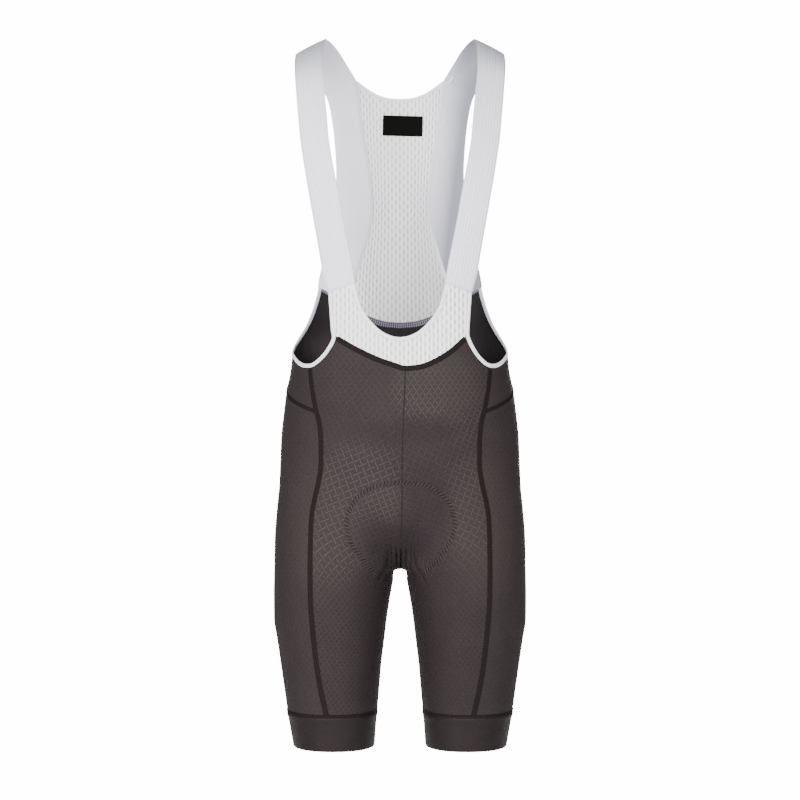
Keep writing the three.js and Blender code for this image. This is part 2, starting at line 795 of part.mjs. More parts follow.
// Label on the inner face of the mesh back.
const labelRows = (out) =>
  steps(2).map((v) =>
    steps(4).map((s) => {
      const dx = 55 * (s - 0.5);
      const dz = 27 * (0.5 - v);
      const x = 3.7 + dx + 0.026 * dz;
      const z = -96 + dz - 0.026 * dx;
      return place(x, over(Math.abs(x), z, true)[1], z, out);
    }),
  );
add(wall("label", labelRows(-CLOTH - 0.5), labelRows(-CLOTH - 1.3), 0x1c1b18, 0.6));

// Chamois pad inside the seat. Its rows cross the middle line of the body form from its
// front, through the crotch, to its back, and each follows the cloth sideways.
function padMiddle() {
  const line = [];
  const heights = [...steps(40).map((t) => mix(-581, CROTCH, 1 - (1 - t) ** 2))];
  heights.forEach((z) => line.push(new THREE.Vector3(0, -frontOf(z), z)));
  heights.reverse().slice(1).forEach((z) => line.push(new THREE.Vector3(0, backOf(z), z)));
  return line;
}

function frontOf(z) {
  return z > CROTCH + 1e-6 ? solve((y) => body(0, -y, z), 0, 220) : 0;
}

function backOf(z) {
  return z > CROTCH + 1e-6 ? solve((y) => body(0, y, z), 0, 220) : 0;
}

function settle(p) {
  for (let i = 0; i < 3; i += 1) {
    const f = body(p.x, p.y, p.z);
    const h = 0.3;
    const slope = new THREE.Vector3(
      body(p.x + h, p.y, p.z) - body(p.x - h, p.y, p.z),
      body(p.x, p.y + h, p.z) - body(p.x, p.y - h, p.z),
      body(p.x, p.y, p.z + h) - body(p.x, p.y, p.z - h),
    ).divideScalar(2 * h);
    p.addScaledVector(slope, -f / slope.lengthSq());
  }
  return p;
}

const line = padMiddle();
const passed = [0];
line.slice(1).forEach((p, i) => passed.push(passed[i] + p.distanceTo(line[i])));
const padLength = PAD.key[PAD.key.length - 1];
const PAD_PACES = [0, 3, 6, 9, 14, 20, 25, 30];
const padRows = [];
const padCount = 24;
for (let i = 0; i <= padCount; i += 1) {
  const along = (padLength * i) / padCount;
  let k = 1;
  while (k < passed.length - 1 && passed[k] < along) k += 1;
  const t = (along - passed[k - 1]) / (passed[k] - passed[k - 1]);
  const start = line[k - 1].clone().lerp(line[k], t);
  const run = line[k].clone().sub(line[k - 1]).normalize();
  const half = PAD.half(along);
  const thick = PAD.thick(along);
  const clear = PAD.clear(along);
  const right = [];
  const p = start.clone();
  const normal = outward(p.x, p.y, p.z);
  const heading = run.clone().cross(normal);
  if (heading.x < 0) heading.negate();
  const paces = 30;
  for (let n = 0; n <= paces; n += 1) {
    const share = n / paces;
    if (PAD_PACES.includes(n)) {
      const out = outward(p.x, p.y, p.z);
      const deep = mix(thick, 1.2, ease((share - 0.55) / 0.45));
      const foot1 = p.clone().addScaledVector(out, -CLOTH - clear);
      const foot2 = p.clone().addScaledVector(out, -CLOTH - clear - deep);
      right.push([foot1, foot2]);
    }
    p.addScaledVector(heading, half / paces);
    settle(p);
    const now = outward(p.x, p.y, p.z);
    heading.addScaledVector(now, -heading.dot(now)).normalize();
  }
  padRows.push(right);
}
const padGrid = (layer) =>
  padRows.map((row) => {
    const swayedRow = (sign) =>
      row.map((pair) => {
        const p = pair[layer];
        const near = Math.max(0, 1 - (p.x / 125) ** 2);
        const aside = SWAY.aside(p.z) * near * near * ease((-20 - p.y) / 50);
        return new THREE.Vector3(sign * p.x + aside, p.y, p.z);
      });
    return [...swayedRow(-1).reverse().slice(0, -1), ...swayedRow(1)];
  });
add(wall("pad", padGrid(0), padGrid(1), 0x8f8a86, 0.95));

export default group;
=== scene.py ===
"""Cycling bib shorts in their hollow worn form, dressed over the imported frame.

Sizes are in millimetres up to the point where a mesh is made, and in metres after it.
"""

import math

import bpy
import numpy as np
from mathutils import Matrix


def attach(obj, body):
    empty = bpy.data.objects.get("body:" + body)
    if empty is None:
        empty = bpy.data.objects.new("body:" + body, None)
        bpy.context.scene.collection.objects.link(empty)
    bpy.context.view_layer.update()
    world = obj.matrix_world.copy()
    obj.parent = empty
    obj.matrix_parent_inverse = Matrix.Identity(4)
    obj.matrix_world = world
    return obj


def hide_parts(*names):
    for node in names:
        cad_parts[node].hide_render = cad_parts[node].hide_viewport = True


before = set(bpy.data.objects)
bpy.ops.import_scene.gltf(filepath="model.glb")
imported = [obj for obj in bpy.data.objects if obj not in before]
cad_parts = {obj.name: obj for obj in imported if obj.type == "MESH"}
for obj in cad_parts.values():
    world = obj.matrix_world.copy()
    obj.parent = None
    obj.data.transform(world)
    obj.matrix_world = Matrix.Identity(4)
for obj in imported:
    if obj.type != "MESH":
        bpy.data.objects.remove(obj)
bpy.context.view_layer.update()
MM = 0.001

# Camera.
CAMERA_AWAY = 3.0  # metres in front of the middle of the garment
CAMERA_HEIGHT = -0.4747
FRAME_WIDE = 1.0712  # metres across the frame at the middle of the garment

camera = bpy.data.cameras.new("camera")
camera.sensor_width = 36
camera.lens = 36 * CAMERA_AWAY / FRAME_WIDE
camera.clip_end = 60
eye = bpy.data.objects.new("camera", camera)
eye.location = (0, -CAMERA_AWAY, CAMERA_HEIGHT)
eye.rotation_euler = (math.pi / 2, 0, 0)
bpy.context.scene.collection.objects.link(eye)
bpy.context.scene.camera = eye

# Sizes shared with the source.
CLOTH = 1.2
GAP = 0.3
CUFF_WALL = 1.6
BIND_THICK = 2.2
NECK_WIDE = 5.4
NAPE_WIDE = 5.0
ARM_WIDE = 5.5
CROTCH = -700.0
RISE = 115.0  # height over which the legs turn into the torso
BLEND = 27.0  # how softly the two legs meet
CUFF_TOP = -890.0
HEM = -935.5
TORSO_POWER = 2.5
LEG_POWER = 2.2
DIAGONAL_FRONT = -490.0
DIAGONAL_BACK = -446.0
SWAY_REACH = 125.0  # distance from the middle at which the front's sway ends

# The area of the worn cloth over its flat area.
STRETCH = 1.06


def follow(key, value, at):
    """A curve through (key, value) that never swings past its rows."""
    at = np.clip(np.asarray(at, float), key[0], key[-1])
    i = np.clip(np.searchsorted(key, at, side="right") - 1, 0, len(key) - 2)
    step = np.diff(key)
    slope = np.diff(value) / step
    lean = np.zeros(len(key))
    lean[0], lean[-1] = slope[0], slope[-1]
    before, after = slope[:-1], slope[1:]
    same = before * after > 0
    total = np.where(same, before + after, 1)
    lean[1:-1] = np.where(same, 2 * before * after / total, 0)
    t = (at - key[i]) / step[i]
    fall = (1 + 2 * t) * (1 - t) ** 2
    return (
        value[i] * fall
        + value[i + 1] * (1 - fall)
        + step[i] * (lean[i] * t * (1 - t) ** 2 - lean[i + 1] * t * t * (1 - t))
    )


class Table:
    """Rows of named columns; the first is the key."""

    def __init__(self, names, rows):
        columns = np.array(rows, float).T
        self.key = columns[0]
        self.columns = dict(zip(names.split(), columns))

    def at(self, name, key):
        return follow(self.key, self.columns[name], key)


TORSO = Table("z wide front back", [
    (-720, 169, 100, 112), (-660, 167.5, 104, 120), (-620, 164.5, 108, 123),
    (-587, 161.3, 111, 121), (-555, 160, 113, 117), (-523, 158.7, 114, 111),
    (-491, 155.3, 113, 105), (-461, 151.3, 112, 99), (-434, 146, 110, 94),
    (-407, 143.6, 109, 90), (-371, 142, 108, 87), (-335, 142, 108, 88),
    (-300, 144, 108, 92), (-270, 147, 108, 97), (-235, 152, 108, 102),
    (-205, 156, 108, 105), (-160, 162, 108, 105), (-120, 165, 108, 100),
    (-80, 165, 108, 88), (-60, 165, 108, 78), (-30, 165, 108, 60),
])
LEG = Table("z inside outside front back", [
    (-940, 34.4, 141.6, 70, 62), (-890, 30.8, 150.3, 74, 66), (-860, 28.1, 154.7, 77, 70),
    (-828, 25.4, 159.3, 81, 75), (-796, 21.5, 164, 85, 80), (-764, 17.6, 168.6, 89, 86),
    (-732, 12.6, 168.8, 93, 92), (-716, 10.1, 168.5, 95, 96),
    (-704, 8.6, 168.3, 96.5, 98.5), (-700, 6.75, 168.2, 97, 99),
    (-697, 5.4, 168.1, 97.3, 99.5), (-688, 3.6, 168, 98, 101),
    (-660, -3, 167.5, 101, 106), (-585, -25, 161.5, 106, 112),
])
SEAM = Table("z front back", [
    (-890, 95.5, 95), (-845, 105, 106), (-813, 109.7, 111), (-770, 114, 116),
    (-731, 116.5, 119), (-702, 116.8, 120), (-657, 116.3, 121), (-627, 114.9, 121),
    (-604, 111, 119), (-580, 105.4, 116), (-558, 102.5, 113), (-530, 102.7, 112),
    (-507, 104.6, 112.5), (-490, 108.8, 113.5), (-458, 114.9, 116.5), (-434, 117.5, 119),
    (-390, 122, 126), (-320, 128, 136),
])
SWAY = Table("z aside", [
    (-700, 0), (-640, 2), (-540, 3), (-432, 6.5), (-330, 2),
])
WAIST_FRONT = Table("x z", [
    (-84, -391), (-67, -401), (-51.7, -409.4), (-25.8, -421.1), (-6.5, -427.6),
    (6.5, -431.5), (25.8, -429.5), (51.7, -418.7), (67, -408.5), (84, -393),
])
ARMHOLE = Table("round z", [
    (84.4, -391), (90, -403.4), (100.3, -417.6), (112.7, -427.9), (124, -433),
    (136.6, -432.8), (155.4, -427.3), (176.3, -419.5), (202, -414.5), (222, -408.5),
    (239.3, -398.9), (255.3, -384), (265.9, -369.2), (273.9, -354.6), (279.6, -340.2),
    (285.8, -323.6),
])
WAIST_BACK = Table("x z", [
    (0, -371), (20, -369.2), (41, -363.2), (60, -354.5), (78, -343), (99, -328),
    (107, -323.4), (114, -320),
])
NECKLINE = Table("t x z", [
    (0, 58.2, -323.7), (0.14, 55.4, -337), (0.28, 51.6, -350), (0.4, 46.6, -360.5),
    (0.51, 40.2, -369.5), (0.64, 31.3, -379.3), (0.78, 19.7, -388), (0.92, 6.6, -392.9),
    (1, 0, -393.6),
])
NAPE = Table("x z", [
    (0, -65.2), (16, -64), (33.6, -59), (48, -51), (54.5, -46.4), (59.5, -42),
])
BACK_SIDE = Table("z seam edge", [
    (-372, 92, 125), (-350, 81.5, 118), (-337, 74.2, 114.6), (-320, 67.5, 112.6),
    (-300, 60.6, 109.2), (-268, 51.1, 100.7), (-233, 41.5, 92.6), (-205, 39, 88.7),
    (-161, 43.1, 88.2), (-119, 49.7, 90.4), (-79, 55.5, 95.5), (-60, 57.9, 100.5),
    (-37, 60.1, 106),
])
STRAP = Table("row xi yi zi xo yo zo bow", [
    (0, 58.2, -103.4, -323.4, 93.5, -91.6, -335.4, 1.8),
    (1, 62.0, -105.5, -301.6, 101.3, -94.0, -305.0, 1.6),
    (2, 67.4, -107.5, -274.0, 106.6, -96.5, -274.0, 1.4),
    (3, 73.9, -108.0, -241.0, 112.5, -98.5, -241.0, 1.2),
    (4, 80.2, -107.5, -205.0, 118.8, -99.0, -205.0, 1.1),
    (5, 87.4, -104.5, -166.0, 125.3, -97.0, -166.0, 1.0),
    (6, 91.9, -100.0, -138.1, 129.5, -94.0, -137.9, 1.0),
    (7, 94.9, -92.5, -106.0, 132.7, -88.0, -106.0, 0.9),
    (8, 98.5, -79.0, -70.4, 135.8, -77.0, -73.0, 0.8),
    (9, 101.6, -62.0, -38.0, 138.3, -61.5, -46.0, 0.7),
    (10, 102.1, -43.0, -13.5, 139.3, -43.0, -28.5, 0.6),
    (11, 100.9, -24.0, 1.2, 139.2, -25.0, -17.4, 0.6),
    (12, 98.8, -5.0, 8.4, 137.2, -6.0, -11.4, 0.7),
    (13, 93.6, 13.5, 7.0, 131.4, 14.0, -14.0, 0.9),
    (14, 83.9, 32.0, -1.6, 121.6, 33.0, -25.5, 1.3),
    (15, 72.1, 49.0, -18.7, 110.5, 51.5, -42.5, 1.8),
    (16, 60.1, 61.6, -36.7, 100.5, 68.0, -60.6, 2.4),
])
PAD = Table("along half thick clear", [
    (0, 24, 1.4, 1.7), (8, 43, 2.4, 1.7), (20, 59, 3.6, 1.7), (38, 70, 4.4, 1.7),
    (54, 74, 4.8, 1.7), (72, 70, 5, 1.7), (92, 60, 5, 1.7), (115, 48, 5, 1.7),
    (150, 38, 5, 2), (190, 48, 5, 2.9), (230, 60, 5, 3.4), (262, 66, 4.4, 3.2),
    (290, 60, 3.6, 3), (308, 44, 2.4, 2.8), (318, 28, 1.4, 2.4),
])


def ease(t):
    """A smooth rise from 0 at t = 0 to 1 at t = 1."""
    t = np.clip(t, 0, 1)
    return t * t * (3 - 2 * t)


def mix(a, b, t):
    return a + (b - a) * t


def bump(t):
    """1 at t = 0, falling smoothly to 0 at t = 1 and beyond."""
    return 1 - ease(np.abs(t))


# Body form.
def from_oval(dx, dy, wide, deep, power):
    """About how far a point lies outside a rounded oval; less than zero inside."""
    size = np.abs(dx / wide) ** power + np.abs(dy / deep) ** power
    return np.hypot(dx, dy) * (1 - np.maximum(size, 1e-9) ** (-1 / power))


def body(x, y, z):
    """Below zero inside the body form, zero on the outer face of the cloth."""
    x, y, z = np.broadcast_arrays(x, y, z)
    share = ease((z - CROTCH) / RISE)
    ahead = y < 0
    deep = np.where(ahead, TORSO.at("front", z), TORSO.at("back", z))
    torso = from_oval(x, y, TORSO.at("wide", z), deep, TORSO_POWER)
    inside, outside = LEG.at("inside", z), LEG.at("outside", z)
    middle, wide = (inside + outside) / 2, (outside - inside) / 2
    deep = np.where(ahead, LEG.at("front", z), LEG.at("back", z))
    one = from_oval(x - middle, y, wide, deep, LEG_POWER)
    other = from_oval(x + middle, y, wide, deep, LEG_POWER)
    near = np.maximum(BLEND - np.abs(one - other), 0) / BLEND
    legs = np.minimum(one, other) - near * near * BLEND / 4
    return share * torso + (1 - share) * legs


def unit(v):
    return v / np.maximum(np.linalg.norm(v, axis=-1, keepdims=True), 1e-12)


def xyz(p):
    """The coordinates of points (..., 3), each on its own."""
    return np.moveaxis(p, -1, 0)


def pack(*values):
    """Values side by side in a last axis, each spread over the whole grid."""
    return np.stack(np.broadcast_arrays(*values), -1)


def slope_of(p, h=0.4):
    """Gradient of the body form at points (..., 3), for any sign of x."""
    made = np.empty_like(p)
    for i, step in enumerate(np.eye(3) * h):
        made[..., i] = (body(*xyz(p + step)) - body(*xyz(p - step))) / (2 * h)
    return made


def outward(p):
    return unit(slope_of(p))


def solve(f, low, high, turns=34):
    """Solves f = 0 for arrays of low ends, where f is negative, and high ends."""
    low, high = (np.array(v, float) for v in np.broadcast_arrays(low, high))
    for _ in range(turns):
        middle = (low + high) / 2
        below = f(middle) < 0
        low = np.where(below, middle, low)
        high = np.where(below, high, middle)
    return (low + high) / 2


def over(x, z, back):
    """Depth of the body form's front or back over (x, z)."""
    sign = 1 if back else -1
    x, z = np.broadcast_arrays(np.asarray(x, float), np.asarray(z, float))
    return sign * solve(lambda y: body(x, sign * y, z), np.zeros(x.shape), 220.0)


def on_form(x, z, back):
    """Points of the body form at signed x."""
    return pack(x, over(np.abs(x), z, back), z)


def settle(p, turns=4):
    """Moves points onto the body form."""
    for _ in range(turns):
        slope = slope_of(p, 0.3)
        size = np.maximum((slope * slope).sum(-1, keepdims=True), 1e-9)
        p = p - slope * (body(*xyz(p))[..., None] / size)
    return p


def sway(x, y, z):
    """How far the middle of the front hangs to the wearer's left."""
    near = np.maximum(0, 1 - (x / SWAY_REACH) ** 2)
    return SWAY.at("aside", z) * near * near * ease((-20 - y) / 50)


def swayed(p, side):
    """Points of the half form, put on one side and moved with the front's sway."""
    x, y, z = xyz(p)
    return pack(side * x + sway(x, y, z), y, z)


def lay(p, side):
    """The same, and back on the body form where the sway has moved them."""
    x, y, z = xyz(swayed(p, side))
    moved = np.abs(sway(*xyz(p))) > 1e-9
    return pack(x, np.where(moved, over(x, z, False), y), z)


# Sections.
UPPER = np.arange(-312.0, -490.0, -2.5)
LOWER = np.concatenate(
    [
        np.arange(-490.0, -640.0, -5.0),
        np.arange(-640.0, -688.0, -4.0),
        [-688, -691, -693.5, -695.5, -697, -698.2, -699.2, -699.8, -700],
        [-700.3, -700.8, -701.5, -702.5, -704, -706, -709, -713],
        np.arange(-718.0, -886.0, -6.0),
        [CUFF_TOP + GAP / 2],
    ]
)
LEVELS = np.concatenate([UPPER, LOWER])


def arc(path, axis=0):
    """Distance along a path, or along each line of a grid, at each of its points."""
    pace = np.linalg.norm(np.diff(path, axis=axis), axis=-1)
    return np.insert(np.cumsum(pace, axis), 0, 0, axis)


def sections(zs, count=240):
    """Half sections at heights zs: x, y and the distance round, one row each."""
    leg = (LEG.at("inside", zs) + LEG.at("outside", zs)) / 2
    middle = np.where(zs > -585, TORSO.at("wide", zs) / 2, leg)
    joined = zs > CROTCH + 1e-6
    zero = np.zeros(len(zs))
    front = np.where(joined, over(zero, zs, False), 0)
    back = np.where(joined, over(zero, zs, True), 0)
    start = np.where(joined, np.arctan2(front, -middle), -np.pi)
    stop = np.where(joined, np.arctan2(back, -middle), np.pi)
    angle = mix(start[:, None], stop[:, None], np.linspace(0, 1, count + 1)[None])
    dx, dy = np.cos(angle), np.sin(angle)
    far = np.where(dx < -1e-9, np.minimum(260, middle[:, None] / np.maximum(-dx, 1e-9)), 260)
    r = solve(lambda s: body(middle[:, None] + s * dx, s * dy, zs[:, None]), 0 * far, far)
    x, y = middle[:, None] + r * dx, r * dy
    return x, y, arc(pack(x, y), 1)


RX, RY, RR = sections(LEVELS)


def round_at(k, x, back):
    """Distance round section k at which it reaches x, on its front or back."""
    order = range(len(RX[k]) - 1, -1, -1) if back else range(len(RX[k]))
    last = None
    for i in order:
        if RX[k, i] >= x and last is not None:
            t = (x - RX[k, last]) / (RX[k, i] - RX[k, last])
            return mix(RR[k, last], RR[k, i], t)
        last = i
    return RR[k, -1] / 2


ENDS = np.array(
    [
        (0, round_at(k, SEAM.at("front", z), False), round_at(k, SEAM.at("back", z), True), RR[k, -1])
        for k, z in enumerate(LEVELS)
    ]
)


def ring_point(k, at):
    """x and y of section k at a distance round it."""
    return np.interp(at, RR[k], RX[k]), np.interp(at, RR[k], RY[k])


def panel_field(index, columns):
    """Points and distances round the body of a panel's columns at every level."""
    low, high = ENDS[:, index] + GAP / 2, ENDS[:, index + 1] - GAP / 2
    at = mix(low[:, None], high[:, None], columns[None])
    points = np.array([ring_point(k, at[k]) for k in range(len(LEVELS))])
    return points[:, 0], points[:, 1], at


def tops(edge, key):
    """Height at which each column meets an edge: a table of heights, and its key at every level."""
    made = []
    for column in key.T:
        e = LEVELS - edge.at("z", column)
        k = np.nonzero((e[:-1] >= 0) & (e[1:] < 0))[0][-1]
        t = e[k] / (e[k] - e[k + 1])
        made.append(mix(LEVELS[k], LEVELS[k + 1], t) - GAP / 2)
    return np.array(made)


def cut(index, columns, top, foot, upper_rows):
    """A panel's grid of body points and its distances round, from its top edge to foot or the cuff."""
    x, y, at = panel_field(index, columns)
    if foot is None:
        upper = mix(top, LOWER[0], np.arange(upper_rows)[:, None] / upper_rows)
        heights = np.concatenate([upper, LOWER[:, None] + 0 * top])
    else:
        heights = mix(top, foot, np.arange(upper_rows + 1)[:, None] / upper_rows)

    def pick(v):
        """Values known at every level, at the heights of each column."""
        return pack(*(np.interp(h, LEVELS[::-1], w[::-1]) for h, w in zip(heights.T, v.T)))

    return pack(pick(x), pick(y), heights), pick(at)


# Meshes.
def facing_out(points, faces):
    """The faces of a closed body, turned so that they look outwards."""
    f = np.array([(q[0], q[i], q[i + 1]) for q in faces for i in range(1, len(q) - 1)])
    a, b, c = points[f[:, 0]], points[f[:, 1]], points[f[:, 2]]
    volume = np.einsum("ij,ij->i", a, np.cross(b, c)).sum()
    return faces if volume >= 0 else [q[::-1] for q in faces]


def mesh_object(name, points, faces, uv, material, sharp):
    """A piece from points in millimetres, with cloth coordinates in millimetres for each point."""
    mesh = bpy.data.meshes.new(name)
    mesh.from_pydata((points * MM).tolist(), [], facing_out(points, faces))
    mesh.validate()
    corner = np.empty(len(mesh.loops), int)
    mesh.loops.foreach_get("vertex_index", corner)
    layers = {"cloth": uv[corner, :2]}
    if uv.shape[1] == 3:
        layers["pad"] = uv[corner, 2:] * [1, 0]
    for layer, values in layers.items():
        data = mesh.uv_layers.new(name=layer).data
        data.foreach_set("uv", (values * MM).astype(np.float32).ravel())
    mesh.polygons.foreach_set("use_smooth", [True] * len(mesh.polygons))
    mesh.set_sharp_from_angle(angle=math.radians(sharp))
    mesh.materials.append(material)
    made = bpy.data.objects.new(name, mesh)
    bpy.context.scene.collection.objects.link(made)
    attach(made, "root")
    return made


def wall(name, outer, inner, uv, material, slot, closed=False, sharp=40, lining=None):
    """A closed wall between two grids of points with the same rows and columns."""
    rows, cols = outer.shape[:2]
    n = rows * cols
    points = np.concatenate([outer.reshape(-1, 3), inner.reshape(-1, 3)])
    coords = np.concatenate([uv.reshape(-1, uv.shape[-1])] * 2)
    across = cols if closed else cols - 1
    i, j = (v.ravel() for v in np.meshgrid(np.arange(rows - 1), np.arange(across), indexing="ij"))
    k = (j + 1) % cols
    a, b, c, d = i * cols + j, (i + 1) * cols + j, (i + 1) * cols + k, i * cols + k
    faces = [pack(a, b, c, d), pack(a, d, c, b) + n]
    down, round_it = np.arange(rows), np.arange(across + 1) % cols
    edges = [(round_it, -1), (round_it + (rows - 1) * cols, 1)]
    if not closed:
        edges += [(down * cols, 1), (down * cols + cols - 1, -1)]
    for edge, turn in edges:
        p, q = edge[:-1], edge[1:]
        faces.append(pack(p, p + n, q + n, q)[:, ::turn])
    faces = np.concatenate(faces).tolist()
    made = mesh_object(name, points, faces, coords, material, sharp)
    if lining is not None:
        made.data.materials.append(lining)
        which = np.zeros(len(faces), np.int32)
        which[len(a) : 2 * len(a)] = 1
        made.data.polygons.foreach_set("material_index", which)
    return made


def tube(name, ring, across, run, material, closed=False, sharp=60):
    """A closed band with a ring of points at each place along it; across and run are cloth coordinates."""
    rows, n = ring.shape[:2]
    uv = pack(across[None], run[:, None]).reshape(-1, 2)
    last = rows if closed else rows - 1
    i, j = (v.ravel() for v in np.meshgrid(np.arange(last), np.arange(n), indexing="ij"))
    k, after = (j + 1) % n, (i + 1) % rows
    faces = pack(i * n + j, i * n + k, after * n + k, after * n + j).tolist()
    if not closed:
        faces += [list(range(n))[::-1], list(range((rows - 1) * n, rows * n))]
    return mesh_object(name, ring.reshape(-1, 3), faces, uv, material, sharp)


RIBBON_PROFILE = np.array(
    [(-0.5, 0), (-0.46, 0.7), (-0.25, 1), (0, 1.05), (0.25, 1), (0.46, 0.7), (0.5, 0), (0, -0.3)]
)


def beside(path, normal):
    """Direction across a path on the cloth."""
    return unit(np.cross(unit(np.gradient(path, axis=0)), normal))


def ribbon(name, path, normal, width, height, material, closed=False):
    """A low band along a path on the cloth, with a crowned section and a flat underside."""
    normal = unit(normal)
    aside = beside(path, normal)
    if closed:
        aside = unit(np.cross(unit(np.roll(path, -1, 0) - np.roll(path, 1, 0)), normal))
    across, up = RIBBON_PROFILE[None, :, :1] * width, RIBBON_PROFILE[None, :, 1:] * height
    ring = path[:, None] + aside[:, None] * across + normal[:, None] * up
    return tube(name, ring, across[0, :, 0], arc(path), material, closed, 50)


def points_at(path, at):
    """Points of a path at distances along it."""
    run = arc(path)
    return pack(*(np.interp(at, run, column) for column in path.T))


def spread(path, count):
    """The path again as count points, evenly spread along it."""
    return points_at(path, np.linspace(0, arc(path)[-1], count))


def resample(path, pace):
    """The path again, at even steps of about pace millimetres."""
    return spread(path, max(2, int(round(arc(path)[-1] / pace))) + 1)


def smooth_path(path, turns=2):
    """The path with its kinks evened out, its ends kept."""
    path = path.copy()
    for _ in range(turns):
        path[1:-1] = (path[:-2] + 2 * path[1:-1] + path[2:]) / 4
    return path


# Nodes of materials and of the studio.
def node_of(tree, kind, inputs=(), **settings):
    """A new node of a tree with its settings and its inputs, by number or by name."""
    node = tree.nodes.new("ShaderNode" + kind)
    for name, value in settings.items():
        setattr(node, name, value)
    for key, value in dict(inputs).items():
        feed(tree, node.inputs[key], value)
    return node


def feed(tree, socket, value):
    """Gives a socket a plain value, or joins it to another node."""
    value = value.socket if isinstance(value, Value) else value
    if isinstance(value, bpy.types.NodeSocket):
        tree.links.new(value, socket)
    else:
        socket.default_value = value


class Value:
    """A number at each place, worked out by nodes; it adds and multiplies like a plain number."""

    def __init__(self, tree, socket):
        self.tree, self.socket = tree, socket

    def math(self, what, *others):
        node = node_of(self.tree, "Math", enumerate((self, *others)), operation=what)
        return Value(self.tree, node.outputs[0])

    def __add__(self, other):
        return self.math("ADD", other)

    def __sub__(self, other):
        return self.math("SUBTRACT", other)

    def __mul__(self, other):
        return self.math("MULTIPLY", other)

    def __abs__(self):
        return self.math("ABSOLUTE")

    def near(self):
        """Distance from the nearest whole number, with its sign."""
        return self - self.math("ROUND")

    def wave(self, pitch):
        """A smooth 0 to 1 wave."""
        return (self * (2 * math.pi / pitch)).math("SINE") * 0.5 + 0.5

    def step(self, low, high, first=0.0, last=1.0):
        """Turns smoothly from first to last between two values."""
        inputs = enumerate((self, low, high, first, last))
        node = node_of(self.tree, "MapRange", inputs, interpolation_type="SMOOTHSTEP")
        return Value(self.tree, node.outputs[0])

    def line(self, half, soft):
        """1 within half of zero, fading over soft."""
        return abs(self).step(half, half + soft, 1.0, 0.0)


# Materials.
def srgb(*levels):
    """An 8-bit display colour as linear light."""
    shares = [level / 255 for level in levels]
    linear = [c / 12.92 if c <= 0.04045 else ((c + 0.055) / 1.055) ** 2.4 for c in shares]
    return (*linear, 1)


class Cloth:
    """A fabric material built from nodes, in cloth coordinates of metres."""

    def __init__(self, name, colour, roughness, shine=0.25, sheen=0.0):
        self.material = bpy.data.materials.new(name)
        self.material.use_nodes = True
        self.tree = self.material.node_tree
        self.shader = self.tree.nodes["Principled BSDF"]
        looks = {
            "Base Color": colour,
            "Roughness": roughness,
            "Specular IOR Level": shine,
            "Sheen Weight": sheen,
            "Sheen Roughness": 0.45,
        }
        for socket, value in looks.items():
            self.shader.inputs[socket].default_value = value
        self.u, self.v = self.layer("cloth")[:2]
        self.place = node_of(self.tree, "TexCoord").outputs["Object"]
        self.x, _, self.z = self.numbers(self.place)
        self.height = None

    def numbers(self, vector):
        """The three numbers of a vector."""
        node = node_of(self.tree, "SeparateXYZ", {0: vector})
        return [Value(self.tree, socket) for socket in node.outputs]

    def layer(self, name):
        return self.numbers(node_of(self.tree, "UVMap", uv_map=name).outputs[0])

    def noise(self, scale, detail=2.0, stretch=None):
        place = self.place
        if stretch is not None:
            place = node_of(self.tree, "Mapping", {0: place, "Scale": stretch}).outputs[0]
        inputs = {"Vector": place, "Scale": scale, "Detail": detail}
        return Value(self.tree, node_of(self.tree, "TexNoise", inputs).outputs[0])

    def spots(self, rows):
        """The strongest of a few soft round spots, each x, z, half width, half height, share."""
        best = None
        for x, z, wide, tall, share in rows:
            across, up = (self.x - x) * (1 / wide), (self.z - z) * (1 / tall)
            spot = (across * across + up * up).line(0.06, 1.0) * share
            best = spot if best is None else best.math("MAXIMUM", spot)
        return best

    def blend(self, share, a, b):
        """Colour a, turning to colour b by the share."""
        return node_of(self.tree, "Mix", {0: share, 6: a, 7: b}, data_type="RGBA").outputs[2]

    def colour(self, value):
        feed(self.tree, self.shader.inputs["Base Color"], value)

    def raise_by(self, value, size):
        """Adds a height, in metres, to the relief."""
        part = value * size
        self.height = part if self.height is None else self.height + part

    def done(self):
        """The finished material, with its relief."""
        inputs = {"Strength": 1.0, "Distance": 1.0, "Height": self.height}
        feed(self.tree, self.shader.inputs["Normal"], node_of(self.tree, "Bump", inputs).outputs[0])
        return self.material


def knit(c, pitch=0.0009, deep=0.00004):
    """Fine rows of stitches, faint at this distance."""
    c.raise_by(c.u.wave(pitch), deep)
    c.raise_by(c.v.wave(pitch * 0.8), deep * 0.6)


BAR_WIDE = 0.0081  # pitch of the raised bars across the cloth
BAR_TALL = 0.0113  # and along it
PAD_CLOSER = 0.22  # how much closer they are over the pad, where the cloth isn't stretched


def basket_bars(c):
    """Short raised bars in two directions, each pair's ends meeting the next pair's middle."""
    on_pad = c.layer("pad")[0].step(-0.0003, 0.0003)
    closer = on_pad * PAD_CLOSER + 1.0
    x, y = c.u * (1 / BAR_WIDE) * closer, c.v * (1 / BAR_TALL) * closer
    wobble = (c.noise(260, 1.0) - 0.5) * 0.10
    s, d = x + y + wobble, x - y - wobble
    bars = []
    for a, b, odd in ((d, s, 0.0), (s, d, 1.0)):
        along = ((b - (a.math("ROUND") + odd)) * 0.5).near() * 2.0
        bars.append(a.near().line(0.03, 0.05) * along.line(0.6, 0.2))
    return bars[0].math("MAXIMUM", bars[1])


